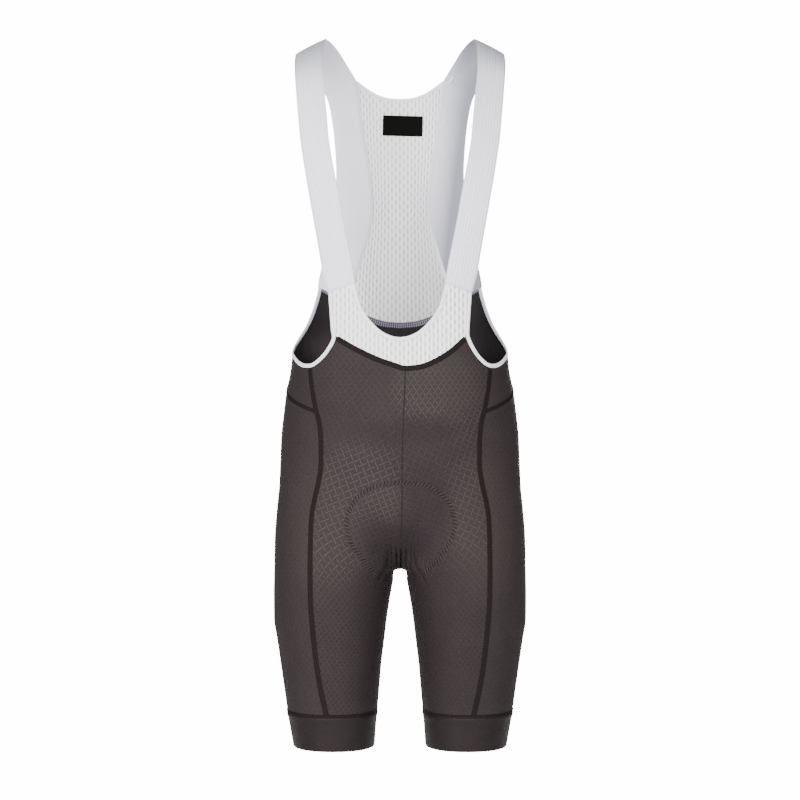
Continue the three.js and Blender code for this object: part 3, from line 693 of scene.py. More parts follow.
# Painted highlight: places where light catches the bars, so they stand out lighter: x, z, half width, half
# height, share.
BAR_HIGHLIGHT_SPOTS = [
    (0.030, -0.462, 0.060, 0.062, 1.0),
    (-0.050, -0.585, 0.085, 0.085, 0.85),
    (-0.088, -0.660, 0.060, 0.110, 0.8),
    (-0.020, -0.606, 0.044, 0.040, 1.0),
    (0.085, -0.480, 0.050, 0.085, 0.75),
    (0.095, -0.610, 0.060, 0.110, 0.68),
    (-0.060, -0.440, 0.060, 0.070, 0.45),
    (0.030, -0.612, 0.040, 0.040, 0.4),
    (-0.090, -0.790, 0.055, 0.120, 0.72),
    (-0.088, -0.880, 0.050, 0.070, 0.6),
    (0.096, -0.760, 0.045, 0.110, 0.55),
    (0.090, -0.880, 0.050, 0.070, 0.35),
]
# Painted highlights over the chest and the tops of the thighs, where the light falls on them.
PAINTED_HIGHLIGHT_SPOTS = [
    (0.108, -0.640, 0.060, 0.115, 0.9),
    (-0.098, -0.640, 0.065, 0.120, 0.8),
    (-0.060, -0.580, 0.060, 0.080, 0.5),
    (0.045, -0.452, 0.075, 0.066, 0.9),
    (-0.010, -0.470, 0.040, 0.050, 0.3),
    (-0.010, -0.612, 0.036, 0.032, 0.7),
]
# And painted shade where the cloth lies in soft folds and turns from the light: under the belly, round the
# pad and on the thighs.
PAINTED_SHADE_SPOTS = [
    (0.020, -0.655, 0.034, 0.032, 0.8),
    (0.030, -0.615, 0.045, 0.070, 0.6),
    (-0.034, -0.652, 0.050, 0.034, 0.4),
    (0.030, -0.512, 0.060, 0.024, 0.45),
    (-0.035, -0.520, 0.060, 0.022, 0.3),
    (0.078, -0.790, 0.080, 0.140, 0.42),
    (-0.078, -0.800, 0.080, 0.130, 0.3),
]


def jersey_base(c, lift=0.0):
    """The jersey's brownish black, varied at random, painted lighter by lift, with painted highlights and
    painted shade in places.
    """
    base = c.blend(c.noise(26, 3.0), srgb(33, 28, 30), srgb(41, 35, 36))
    base = c.blend(lift, base, srgb(60, 53, 54))
    base = c.blend(c.spots(PAINTED_HIGHLIGHT_SPOTS) * 0.75, base, srgb(49, 42, 42))
    base = c.blend(c.spots(PAINTED_SHADE_SPOTS) * 0.55, base, srgb(24, 19, 22))
    return c.blend(c.noise(1500) * 0.3, base, srgb(48, 42, 41))


def dark_jersey(name, show, lift=0.0):
    """Matt brownish black jersey; show is how strongly the bars stand out."""
    c = Cloth(name, srgb(34, 28, 29), 0.62, 0.06)
    bars = basket_bars(c)
    # Painted highlight and shade on the bars: they show lighter in a band at the hips and in the highlight
    # spots, fade in the painted shade, and vary at random.
    hips = (c.v + 0.54).line(0.08, 0.2) * 0.5 + 0.5
    patch = ((c.noise(9) * 0.4 + 0.12) * hips).math("MAXIMUM", c.spots(BAR_HIGHLIGHT_SPOTS))
    patch = patch * (c.spots(PAINTED_SHADE_SPOTS) * -0.85 + 1.0)
    c.colour(c.blend(bars * patch * show, jersey_base(c, lift), srgb(86, 79, 78)))
    c.raise_by(bars, 0.00013)
    c.raise_by(c.noise(1500), 0.00003)
    c.raise_by(c.noise(21), 0.0011)
    knit(c)
    return c.done()


def smooth_dark(name, dark, light, top=None):
    """Plain dark knit; with a height top it has painted shade above that height and on the wearer's left.
    """
    c = Cloth(name, dark, 0.5, 0.1)
    base = c.blend(c.noise(60, 3.0), dark, light)
    if top is not None:
        # Painted shade on the wearer's left and above the height top.
        base = c.blend(c.x.step(-0.02, 0.02) * 0.5, base, srgb(23, 20, 22))
        base = c.blend(c.z.step(top - 0.03, top + 0.02) * 0.75, base, srgb(15, 13, 14))
    c.colour(base)
    c.raise_by(c.noise(24), 0.0007)
    knit(c, 0.0011)
    return c.done()


def seam_tape(name, dark, light, pitch=0.0021):
    """A flat seam: two rows of ladder stitches side by side."""
    c = Cloth(name, dark, 0.75, 0.04)
    both = c.v.wave(pitch) * (c.u.wave(0.003) * 0.6 + 0.4)
    c.colour(c.blend(both, dark, light))
    c.raise_by(both, 0.00022)
    return c.done()


def pad_stitches(name):
    """Short slanted stitches and gathers in the jersey, round the pad."""
    c = Cloth(name, srgb(34, 28, 29), 0.62, 0.06)
    run = c.v + (c.noise(160) - 0.5) * 0.003 + c.u * 0.55
    turn = (run * (1 / 0.0047)).near()
    edge = c.u.line(0.0017, 0.0016)
    dark = turn.line(0.11, 0.16) * edge * (c.noise(90) * 1.6 + 0.1)
    light = (turn - 0.33).line(0.05, 0.14) * edge
    base = c.blend(dark * 0.55, jersey_base(c), srgb(14, 11, 12))
    c.colour(c.blend(light * 0.3, base, srgb(78, 71, 71)))
    c.raise_by(dark, -0.0006)
    c.raise_by(c.noise(1500), 0.00003)
    return c.done()


def inner_shade(c, base, most):
    """Soft shade on the inside of the back, growing to the wearer's left and downwards."""
    below = (c.z * -0.35 + c.x - 0.028).step(0.035, 0.175)
    above = c.z.step(-0.06, 0.0) * 0.3
    away = c.x.step(0.04, 0.095) * 0.8 + below.math("MAXIMUM", above)
    return c.blend(away * most, base, srgb(128, 128, 137))


def white_mesh(name, deep=1.0, shade=0.0):
    """Upright ribs with short staggered slots between them."""
    c = Cloth(name, srgb(236, 236, 235), 0.8, sheen=0.1)
    pitch, tall = 0.0055, 0.0115
    x = c.u * (1 / pitch)
    y = c.v * (1 / tall) + abs(x.math("ROUND")).math("MODULO", 2.0) * 0.5
    slot = x.near().line(0.07, 0.14) * y.near().line(0.2, 0.08)
    groove = x.near().line(0.06, 0.4)
    tiny = c.noise(900)
    base = c.blend(groove * 0.36, srgb(254, 254, 252), srgb(194, 194, 195))
    base = c.blend(tiny * 0.12, base, srgb(205, 205, 205))
    if shade:
        base = inner_shade(c, base, shade)
    patch = c.noise(12) * 0.9 + 0.3
    c.colour(c.blend(slot * patch * (0.42 * deep), base, srgb(128, 128, 132)))
    c.raise_by(groove, -0.0007)
    c.raise_by(slot, -0.0006)
    c.raise_by(tiny, 0.00012)
    c.raise_by(c.noise(26, stretch=(2.6, 1, 0.7)), 0.0022)
    return c.done()


def strap_knit(name):
    """White elastic with upright ribs, with painted shade over the top of the shoulder and down the
    wearer's left strap.
    """
    c = Cloth(name, srgb(222, 222, 229), 0.62, sheen=0.1)
    ribs = c.u.wave(0.0036)
    edge = (abs(c.u) - 0.0175).line(0.0011, 0.0012)
    base = c.blend(ribs * 0.42, srgb(234, 234, 243), srgb(198, 198, 210))
    base = c.blend(edge * 0.35, base, srgb(196, 196, 204))
    # Painted shade: the strap greys over the top of the shoulder and, on the wearer's left, down its upper
    # part.
    turned = c.z.step(-0.078, -0.004) * 0.7
    other = c.x.step(0.0, 0.02) * c.z.step(-0.26, -0.04) * 0.28
    base = c.blend(turned.math("MAXIMUM", other), base, srgb(136, 136, 145))
    slub = c.noise(220, 3.0, stretch=(1, 1, 0.25))
    c.colour(c.blend(slub * 0.3, base, srgb(198, 199, 208)))
    c.raise_by(ribs, 0.00035)
    c.raise_by(c.u.wave(0.0012), 0.00006)
    c.raise_by(edge, -0.0003)
    c.raise_by(c.v.wave(0.0016), 0.00006)
    c.raise_by(c.noise(20), 0.0009)
    return c.done()


def white_jersey(name, shade=0.0):
    """Smooth white knit."""
    c = Cloth(name, srgb(216, 216, 224), 0.7, sheen=0.1)
    base = c.blend(c.noise(30, 3.0), srgb(220, 220, 232), srgb(234, 234, 242))
    c.colour(inner_shade(c, base, shade) if shade else base)
    knit(c, 0.0012)
    c.raise_by(c.noise(22), 0.0013)
    return c.done()


def folded_elastic(name, dark, light, top=None):
    """A folded elastic; with a height top, painted shade greys it towards that height on the outer side of
    an armhole.
    """
    c = Cloth(name, light, 0.6)
    rung = c.v.wave(0.0018)
    base = c.blend(rung * 0.5, light, dark)
    if top is not None:
        # Painted shade on the outer upper part of the armhole elastic.
        armhole_shade = abs(c.x).step(0.094, 0.106) * c.z.step(top - 0.06, top)
        base = c.blend(armhole_shade * 0.5, base, srgb(128, 127, 146))
    c.colour(base)
    c.raise_by(rung, 0.00012)
    c.raise_by(c.u.wave(0.0012), 0.00008)
    return c.done()


def woven_label(name):
    """Plain black weave."""
    c = Cloth(name, srgb(13, 12, 10), 0.6, 0.03)
    both = c.u.wave(0.0007) * c.v.wave(0.0007)
    c.colour(c.blend(both, srgb(7, 7, 6), srgb(16, 15, 13)))
    c.raise_by(both, 0.00008)
    return c.done()


def chamois(name):
    """Soft brushed cover of the pad."""
    c = Cloth(name, srgb(40, 38, 38), 0.9, sheen=0.1)
    c.colour(c.blend(c.noise(240, 3.0), srgb(34, 32, 32), srgb(52, 49, 48)))
    c.raise_by(c.noise(500, 3.0), 0.0003)
    return c.done()


FRONT_CLOTH = dark_jersey("front_jersey", 0.44)
# Painted light: lift paints the side panels' jersey lighter than the front's.
SIDE_CLOTH = dark_jersey("side_jersey", 0.24, lift=0.1)
BACK_CLOTH = dark_jersey("back_jersey", 0.44)
CUFF_CLOTH = smooth_dark("cuff_band", srgb(27, 22, 22), srgb(31, 26, 26))
# The inside faces, with painted shade above a height of -0.385 m and on the wearer's left.
INNER_CLOTH = smooth_dark("inner_face", srgb(51, 46, 48), srgb(57, 51, 53), top=-0.385)
MIDDLE_CLOTH = seam_tape("middle_seam", srgb(31, 26, 27), srgb(43, 36, 37))
TAPE_CLOTH = seam_tape("seam_stitches", srgb(19, 15, 15), srgb(35, 30, 29))
ZIGZAG_CLOTH = pad_stitches("pad_stitches")
GREY_TAPE = seam_tape("waist_tape", srgb(66, 65, 72), srgb(142, 140, 150), 0.003)
WHITE_TAPE = seam_tape("white_stitches", srgb(200, 200, 206), srgb(236, 236, 240))
MESH_CLOTH = white_mesh("white_mesh")
BIB_CLOTH = white_mesh("bib_mesh", 1.55)
STRAP_CLOTH = strap_knit("strap_knit")
SIDE_WHITE = white_jersey("white_jersey")
INNER_WHITE = white_jersey("white_jersey_inside", 0.9)
INNER_MESH = white_mesh("white_mesh_inside", 1.35, 0.5)
WHITE_ELASTIC = folded_elastic("white_elastic", srgb(214, 214, 216), srgb(244, 244, 244))
# Painted shade greys the outer upper part of the armhole elastic.
PALE_ELASTIC = folded_elastic("pale_elastic", srgb(212, 212, 222), srgb(238, 238, 246), top=-0.345)
LABEL_CLOTH = woven_label("label_weave")
CHAMOIS_CLOTH = chamois("chamois")


CUTS = []
EXTRAS = {}


def stands_for(piece, node, outer, folded=False):
    """The piece takes its solid's place; its outer face gives the size of its flat cut."""
    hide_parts(node)
    CUTS.append((piece, outer, folded))


def extra(piece, *panels):
    """Notes that a seam or trim lies on the panels."""
    for name in panels:
        EXTRAS.setdefault(name, []).append(piece)


def word(side):
    return "left" if side > 0 else "right"


# Pad outline.
PAD_LONG = 318.0
PAD_INSET = 3.0  # from the pad's edge to its stitches
MIDDLE_TOP = -581.0  # where the middle line over the pad starts, in front and behind


def middle_line():
    """The middle line of the body form: down the front, through the crotch, up the back."""
    z = mix(MIDDLE_TOP, CROTCH, 1 - (1 - np.linspace(0, 1, 81)) ** 2)
    joined = z > CROTCH + 1e-6
    sides = [np.where(joined, over(0 * z, z, back), 0) for back in (False, True)]
    down, up = (pack(0, depth, z) for depth in sides)
    return np.concatenate([down, up[::-1][1:]])


def march(along, half, paces=30):
    """Points at even paces sideways over the cloth from the middle line, out to half."""
    line = middle_line()
    p = points_at(line, along)
    heading = unit(np.cross(points_at(line, along + 1) - p, outward(p)))
    heading = heading * np.sign(heading[:, :1])
    made = [p]
    for _ in range(paces):
        p = settle(p + heading * (half / paces)[:, None], 3)
        n = outward(p)
        heading = unit(heading - n * (heading * n).sum(-1, keepdims=True))
        made.append(p)
    return np.stack(made, 1)


def pad_loop():
    """Outline of the pad's stitches on the right half of the body form."""
    along = np.linspace(4, 312, 110)
    bend, half = 3.4 * np.linspace(0, 1, 9) ** 2, np.linspace(0, 27, 9)
    parts = [
        march(0.2 + bend, half),
        march(along, PAD.at("half", along) - PAD_INSET),
        march(PAD_LONG - 0.4 - bend[::-1], half[::-1]),
    ]
    return np.concatenate([part[:, -1] for part in parts])


PAD_LOOP = pad_loop()


def puckers(p):
    """Small upright folds where the front seam meets the crotch, and a curved crease each side."""
    x, y, z = xyz(p)
    x = x - 1.5
    ahead = ease((-y - 1) / 8)
    fade = ease((-662 - z) / 14) * ease((z + 702) / 9) * ahead * ease((17 - np.abs(x)) / 4)
    folds = (1.3 - 3.1 * (1 - np.abs(np.sin(np.pi * x / 6.4))) ** 1.4) * fade
    bend = 17.5 + 0.55 * np.maximum(0, -690 - z) - 0.1 * np.maximum(0, z + 690)
    long = bump((z + 694) / 30) * ahead
    crease = -2.6 * bump((np.abs(x) - bend) / 3.6) * long
    ridge = 1.2 * bump((np.abs(x) - bend - 7) / 7) * long
    # The arch is flat on top, with a corner at each side.
    corner = -1.1 * bump((np.abs(x + 1.5) - 8) / 7) * bump((z + 704) / 10)
    return folds + crease + ridge + corner


def drape(p):
    """The cloth swells over the belly, falls in under it and swells again over the pad."""
    x, y, z = xyz(p)
    swell = 2.5 * bump((z + 472 + 0.12 * x) / 40) * bump((x - 12) / 84)
    fall = -2.2 * bump((z + 524 - 0.18 * np.abs(x - 8)) / 27) * bump((x - 4) / 78)
    hips = 0.8 * bump((np.abs(x) - 96) / 30) * bump((z + 600) / 70)
    return (swell + fall + hips) * ease((-y - 30) / 40)


def long_middle():
    """The middle line run on 60 mm past both ends of the pad, and its places along the pad."""
    z = np.linspace(MIDDLE_TOP + 60, MIDDLE_TOP, 13)[:-1]
    front, back = (on_form(0 * z, z, behind) for behind in (False, True))
    whole = np.concatenate([front, middle_line(), back[::-1]])
    return whole, arc(whole) - arc(whole)[len(z)]


MIDDLE, MIDDLE_AT = long_middle()


def pad_field(p):
    """Distance inside the pad's outline, in millimetres, less than zero outside."""
    flat = p.reshape(-1, 3)

    def far_from(line):
        """Squared distance of every point from every point of a line."""
        return ((flat[:, None] - line[None]) ** 2).sum(-1)

    near = np.sqrt(far_from(np.concatenate([swayed(PAD_LOOP, 1), swayed(PAD_LOOP, -1)])).min(1))
    gap = far_from(swayed(MIDDLE, 1))
    along, aside = MIDDLE_AT[gap.argmin(1)], np.sqrt(gap.min(1))
    within = (along > 0) & (along < PAD_LONG) & (aside < PAD.at("half", along) - PAD_INSET)
    return (near * np.where(within, 1, -1)).reshape(p.shape[:-1])


def relief(p):
    """How far the dark cloth stands out of the body form."""
    inside = pad_field(p)
    pillow = 1.5 * ease(inside / 16) - 0.55 * bump(inside / 4.5)
    return puckers(p) + drape(p) + pillow * ease((p[..., 2] + 705) / 12)


# Cloth coordinates of the dark panels.
LEG_TOP = -650.0  # below it the bars run along the leg


def hip_turn(z):
    """How far the bars are turned from their place on the chest."""
    return ease((-445 - z) / 120) - 0.7 * ease((-625 - z) / 140)


HIP_Z = np.linspace(-960, -300, 661)
HIP_RUN = -np.cumsum(hip_turn(HIP_Z)[::-1])[::-1]
OUTSIDE_PAD = -50.0


def cloth_uv(p, at, index, side):
    """Across, from the panel's seam or middle, then height, and distance inside the pad."""
    z = p[..., 2]
    if index == 1:
        middle = at[:, at.shape[1] // 2][:, None]
        return pack(side * (at - middle), z, OUTSIDE_PAD)
    ends = ENDS[::-1, 1 if index == 0 else 2]
    wide = np.interp(np.maximum(z, LEG_TOP), LEVELS[::-1], ends) if index == 0 else 0
    slide = SEAM.at("front", np.minimum(z, LEG_TOP)) - SEAM.at("front", LEG_TOP)
    u = at - np.interp(z, LEVELS[::-1], ends) + wide + slide
    # Over the hips the bars turn towards the middle; on the thighs they turn back.
    turn = hip_turn(z) * (u - 45)
    run = np.interp(z, HIP_Z, HIP_RUN)
    # The leg's cloth is stretched less than the seat's, so its bars are closer together.
    across = (u - 0.376 * turn + 0.302 * run) * (1 + 0.3 * ease((-660 - z) / 90))
    up = z - 0.354 * turn - 0.133 * run - 0.3 * np.maximum(0, -700 - z)
    return pack(side * across, up, pad_field(lay(p, side)))


# Dark panels.
PANELS = {}
DENSE = np.concatenate([np.linspace(0, 0.24, 37)[:-1], np.linspace(0.24, 1, 25)])
UNDER_ARM = np.linspace(0, 1, 11)
SPLIT = len(DENSE) - 1
CORNER = len(UNDER_ARM) - 1


def corner_share(index, row):
    """How far over a panel, at its height, an end of the armhole lies."""
    k = np.argmin(np.abs(LEVELS - ARMHOLE.columns["z"][row]))
    low, high = ENDS[k, index] + GAP / 2, ENDS[k, index + 1] - GAP / 2
    return (ARMHOLE.key[row] - low) / (high - low)


def dark_panel(name, node, index, side, columns, top, foot=None, rows=26, cloth=None):
    """A dark panel of one side, from its top edge down to foot or to the cuff."""
    p, at = cut(index, columns, top, foot, rows)
    placed = lay(p, side)
    out, normal = relief(placed)[..., None], outward(placed)
    outer, inner = placed + normal * out, placed + normal * (np.minimum(out, 0) - CLOTH)
    uv = cloth_uv(p, at, index, side)
    piece = wall(f"{name}_{word(side)}", outer, inner, uv, cloth, "dark_jersey", lining=INNER_CLOTH)
    stands_for(piece, f"{node}_{word(side)}", outer)
    PANELS[name, side] = p


front_corner, back_corner = corner_share(0, 0), corner_share(2, -1)
front_columns = np.concatenate([DENSE * front_corner, mix(front_corner, 1, UNDER_ARM[1:])])
side_columns = np.linspace(0, 1, 25)
back_columns = np.concatenate([UNDER_ARM * back_corner, mix(1, back_corner, DENSE[:-1][::-1])])
diagonal = mix(DIAGONAL_FRONT, DIAGONAL_BACK, np.sin(side_columns * np.pi / 2))
cuff_z = [CUFF_TOP - GAP / 2, -891.2, -893, -896, -900, -906, -912, -918, -924, -929, -932.5, -934.6, HEM]
cuff_z = np.array(cuff_z)
cuff_flare = np.array([0.5, 1.0, 1.2, 0.8, 0.4, 0.3, 0.3, 0.3, 0.3, 0.35, 0.4, 0.3, -0.1])[:, None, None]

for side in (1, -1):
    x, y, at = panel_field(0, front_columns)
    moved = lay(pack(x, y, LEVELS[:, None]), side)[..., 0]
    top = np.concatenate([tops(WAIST_FRONT, moved[:, : SPLIT + 1]), tops(ARMHOLE, at[:, SPLIT + 1 :])])
    dark_panel("front_panel", "front", 0, side, front_columns, top, cloth=FRONT_CLOTH)

    top = tops(ARMHOLE, panel_field(1, side_columns)[2])
    foot = diagonal + GAP / 2
    dark_panel("side_yoke", "side_upper", 1, side, side_columns, top, foot, 14, SIDE_CLOTH)
    dark_panel("side_panel", "side", 1, side, side_columns, diagonal - GAP / 2, None, 10, SIDE_CLOTH)

    x, y, at = panel_field(2, back_columns)
    top = np.concatenate([tops(ARMHOLE, at[:, :CORNER]), tops(WAIST_BACK, x[:, CORNER:])])
    dark_panel("back_panel", "back", 2, side, back_columns, top, cloth=BACK_CLOTH)

    # Cuff: a smooth doubled band, with a low ridge where it joins the leg.
    x, y, around = (v[:, :-1] for v in sections(cuff_z, 120))
    placed = lay(pack(x, y, cuff_z[:, None]), side)
    n = outward(placed)
    outer, inner = placed + n * cuff_flare, placed + n * (np.minimum(cuff_flare, 0.3) - CUFF_WALL)
    uv = pack(side * around, cuff_z[:, None])
    piece = wall("cuff_band_" + word(side), outer, inner, uv, CUFF_CLOTH, "gripper_band", closed=True)
    stands_for(piece, "cuff_" + word(side), np.concatenate([outer, outer[:, :1]], 1))


# Seams and bindings.
def mirrored_profile(*half):
    """A section from its left half: places across, and heights."""
    return np.array([*half, *((-across, up) for across, up in half[::-1])])


SEAM_PROFILE = mirrored_profile((-0.5, 0.0), (-0.45, 0.75), (-0.3, 1.0), (-0.06, 0.72))
SOFT_PROFILE = mirrored_profile((-0.5, -0.1), (-0.4, 0.4), (-0.25, 0.8), (-0.08, 0.75))
BINDING_PROFILE = np.array([
    (0, 0.25), (0.06, 0.42), (0.14, 0.5), (0.24, 0.42), (0.32, 0.36), (0.42, 0.46), (0.6, 0.52),
    (0.78, 0.5), (0.92, 0.36), (0.99, 0.16), (0.99, -0.16), (0.92, -0.36), (0.78, -0.5),
    (0.5, -0.5), (0.12, -0.5), (0, -0.25),
])


def seam(name, path, width, height, material, slot, inside=False, relief=None, profile=SEAM_PROFILE):
    """A low stitched band that follows the cloth on both sides of its path."""
    path = smooth_path(resample(path, 2.2))
    aside = beside(path, outward(settle(path)))
    across, up = profile[None, :, :1], profile[None, :, 1:]
    width = width(path)[:, None, None] if callable(width) else width
    spot = settle(path[:, None] + aside[:, None] * across * width)
    n = outward(spot)
    if inside:
        top, low = spot - n * (CLOTH + up * height), spot - n * (CLOTH - 0.2)
    else:
        rise = relief(spot)[..., None] if relief else 0
        top, low = spot + n * (rise + 0.02 + up * height), spot + n * (rise - 0.25)
    uv = pack((across * width)[..., 0], arc(path)[:, None])
    return wall(name, top, low, uv, material, slot, sharp=60)


def binding(name, node, path, aside, width, material, slot):
    """A folded elastic along an edge, rounded over its free side and stitched near the cloth."""
    across, up = BINDING_PROFILE[None, :, :1], BINDING_PROFILE[None, :, 1:]
    out = outward(path)[:, None] * (up * BIND_THICK - CLOTH / 2)
    ring = path[:, None] + aside[:, None] * (GAP + across * (width - GAP)) + out
    turn = arc(BINDING_PROFILE * [width, BIND_THICK])
    piece = tube(name, ring, turn, arc(path), material)
    stands_for(piece, node, ring, folded=True)


def asides(path, turn, first, last):
    """Direction across a binding at each point of its path, given at its two ends."""
    made = beside(path, outward(path)) * turn
    reach = 4
    for i in range(reach):
        made[i] = unit(mix(unit(first), made[i], i / reach))
        made[-1 - i] = unit(mix(unit(last), made[-1 - i], i / reach))
    return made


def fading(count, reach):
    """0 at both ends of count places, rising to 1 over reach places."""
    at = np.arange(count)
    return np.minimum(1, np.minimum(at, count - 1 - at) / reach)


# Front bib: white mesh from the neckline down to the waist seam.
def strap_seam(x):
    """Height of the seam between the bib and the strap at x."""
    xi, xo, zi, zo = (STRAP.columns[name][0] for name in ("xi", "xo", "zi", "zo"))
    return mix(zi, zo, (x - xi) / (xo - xi))


def neck_edge(t):
    """Edge of the mesh beside the neckline's binding, from the strap (t = 0) to the middle."""
    h = 0.02
    a, rim, b = (on_form(NECKLINE.at("x", s), NECKLINE.at("z", s), False) for s in (t - h, t, t + h))
    away = unit(np.cross(unit(b - a), outward(rim)))
    x, _, z = xyz(rim - NECK_WIDE * away)
    middle = t > 0.999
    x, z = np.where(middle, 0.0, x), np.where(middle, rim[:, 2] - NECK_WIDE, z)
    start = NECKLINE.at("x", 0.0) + NECK_WIDE
    share = bump(t / 0.08)
    return mix(x, start, share), mix(z, strap_seam(start) - GAP, share)


def mirrored(half):
    """Values from the wearer's right to the middle, and on to the left."""
    return np.concatenate([half, half[:-1][::-1]])


BIB_SIDE = 88.4
BIB_FOOT = 84.4
FOOT_SHARES = [1, 0.7, 0.57, 0.44, 0.35, 0.26, 0.195, 0.13, 0.05, 0]


def bib_grid():
    """Points of the bib: columns from the wearer's right to the left, rows downwards."""
    c = np.concatenate([np.linspace(0, 1, 7)[:-1], np.linspace(1, 9, 41)])
    neck_x, neck_z = neck_edge(np.clip((c - 1) / 8, 0, 1))
    line_x = mix(BIB_SIDE, NECKLINE.at("x", 0.0) + NECK_WIDE, np.clip(c, 0, 1))
    head_x = np.where(c < 1, line_x, neck_x)
    head_z = mirrored(np.where(c < 1, strap_seam(line_x) - GAP, neck_z))
    foot_x = np.interp(c, np.arange(10), FOOT_SHARES) * BIB_FOOT
    right = np.where(np.arange(2 * len(c) - 1) < len(c), -1, 1)
    head_x, foot_x = mirrored(head_x) * right, mirrored(foot_x) * right
    v = np.linspace(0, 1, 33)[:, None]
    foot_z = WAIST_FRONT.at("z", foot_x) + GAP / 2
    return on_form(mix(head_x, foot_x, v), mix(head_z, foot_z, v), False)


def bib_relief(p):
    """Soft upright gathers below the neckline, and slack towards the straps."""
    x, _, z = xyz(p)
    t = np.linspace(0, 1, 60)
    rim_z = np.interp(np.abs(x), NECKLINE.at("x", t)[::-1], NECKLINE.at("z", t)[::-1])
    under = np.clip((rim_z - NECK_WIDE - z) / 26, 0, 1)
    at_neck = bump(under) * ease((63 - np.abs(x)) / 20)
    gather = 0.42 * np.sin(x / 1.75 + 1.3 * np.sin(x / 9)) * at_neck
    slack = 0.5 * np.sin(x / 6.1 + z / 23) * bump((z + 372) / 40) * ease((np.abs(x) - 20) / 20)
    return gather + slack


def white_panel(
    name, node, grid, lift, uv, cloth, slot="white_mesh", first=None, lining=None, gathered=False
):
    """A thin white panel raised by lift; first gives its inner face's first row.

    A gathered panel's flat cut is measured over its gathers."""
    n = outward(grid)
    outer, inner = grid + n * lift[..., None], grid + n * (lift - CLOTH)[..., None]
    if first is not None:
        inner[0] = first
    stands_for(wall(name, outer, inner, uv, cloth, slot, lining=lining), node, outer if gathered else grid)


bib = bib_grid()
lift = bib_relief(bib) * fading(33, 32 / 9)[:, None] * fading(bib.shape[1], 3)
white_panel("front_bib", "bib_front", bib, lift, bib[..., [0, 2]], BIB_CLOTH, gathered=True)


def step_to(side, back, start, stop):
    """The way from one x and z of the body form to another, on one side."""
    return on_form(side * stop[0], stop[1], back) - on_form(side * start[0], start[1], back)


edge = bib[0][6:-6]
ends = [step_to(side, False, (63.6, strap_seam(63.6)), (58.2, strap_seam(58.2))) for side in (-1, 1)]
aside = asides(edge, -1, *ends)
binding("neckline_binding", "neck_binding_front", edge, aside, NECK_WIDE, WHITE_ELASTIC, "white_binding")


# Back: the mesh middle with its upright gathers, and the smooth side panels.
def seat_top(x):
    """Height of the seat's seam, at which the white cloth of the back ends."""
    return WAIST_BACK.at("z", np.abs(x)) + GAP / 2 + 0.1


def upright(x_of, top, shares, rows, guess):
    """Points of the back from heights top down to the seat's seam; x depends on share and height."""
    low = solve(lambda z: z - seat_top(x_of(shares, z)), np.full(len(shares), -400.0), guess)
    z = mix(top[None], low[None], np.linspace(0, 1, rows)[:, None])
    return on_form(x_of(shares[None], z), z, True)


def mesh_across(t, z):
    return t * (BACK_SIDE.at("seam", z) - GAP / 2)


def side_across(t, z):
    return mix(BACK_SIDE.at("seam", z) + GAP / 2, BACK_SIDE.at("edge", z), t)


LABEL_X = 3.7
LABEL_Z = -96.0
LABEL_WIDE = 55.0
LABEL_TALL = 27.0
LABEL_LEAN = 0.026
LABEL_DEEP = CLOTH + 1.3  # from the back's outer face to the label's face


def beyond(p, half_wide, half_tall):
    """How far points lie beside and above or below a rectangle round the label."""
    across, up = np.abs(p[..., 0] - LABEL_X) - half_wide, np.abs(p[..., 2] - LABEL_Z) - half_tall
    return np.maximum(across, 0), np.maximum(up, 0)


def back_relief(p):
    """Upright gathers of the mesh back, deepest between the shoulders and beside the label."""
    x, _, z = xyz(p)
    deep = 0.35 * bump((z + 150) / 95) + 0.25 * bump((z + 290) / 80)
    folds = 0.9 * np.sin(x / 3.6 + 0.8 * np.sin(z / 31) + 0.4) * deep
    near_label = bump((np.abs(x - LABEL_X) - 30) / 16) * bump((z - LABEL_Z) / 26)
    pull = 0.7 * np.sin(z / 2.9 + x / 7) * near_label
    beside, above = beyond(p, 22, 10)
    return (folds + pull) * (1 - bump(beside / 10) * bump(above / 8))


shares = np.linspace(-1, 1, 61)
top = solve(lambda z: z - NAPE.at("z", np.abs(mesh_across(shares, z))), np.full(61, -100.0), -25.0)
back = upright(mesh_across, top, shares, 73, -290.0)
lift = back_relief(back) * fading(61, 4) * fading(73, 3)[:, None]
across = arc(back, 1)
back_uv = pack(across - across[:, 30:31], back[..., 2])
white_panel("back_mesh", "bib_back", back, lift, back_uv, MESH_CLOTH, lining=INNER_MESH)
ends = [step_to(side, True, (59.4, -42.0), (59.8, -37.0)) for side in (-1, 1)]
aside = asides(back[0], 1, *ends)
binding("nape_binding", "neck_binding_back", back[0], aside, NAPE_WIDE, WHITE_ELASTIC, "white_binding")


# Straps and side panels of the back.
STRAP_WIDE = 35.0  # of the knit's cloth coordinates
STRAP_WALL = 1.5
STRAPS = {}


def strap_edges(row):
    """Points of the strap's inner and outer edge at rows of its table."""
    return [pack(*(STRAP.at(axis + edge, row) for axis in "xyz")) for edge in "io"]


def strap_faces():
    """Outer and inner face of the left strap, its normals and its cloth coordinates."""
    t = np.linspace(0, 1, 17)
    row = mix(0.008, 15.985, np.linspace(0, 1, 113))
    a, b = strap_edges(row)
    n = unit(np.cross(b - a, sum(strap_edges(row + 0.01)) - sum(strap_edges(row - 0.01))))
    # The edges are turned in by a hair.
    arch, roll = 1 - (2 * t - 1) ** 2, -0.25 * np.abs(2 * t - 1) ** 8
    wave = 0.21 * np.sin(row * 2.1 + 0.7) * bump((row - 8) / 9)
    bow = (STRAP.at("bow", row) + wave)[:, None] * arch + roll
    outer = mix(a[:, None], b[:, None], t[None, :, None]) + n[:, None] * bow[..., None]
    inner = outer - n[:, None] * (STRAP_WALL + 1.8 * roll[None, :, None])
    uv = pack((t[None] - 0.5) * STRAP_WIDE, arc((a + b) / 2)[:, None])
    return outer, inner, n, uv


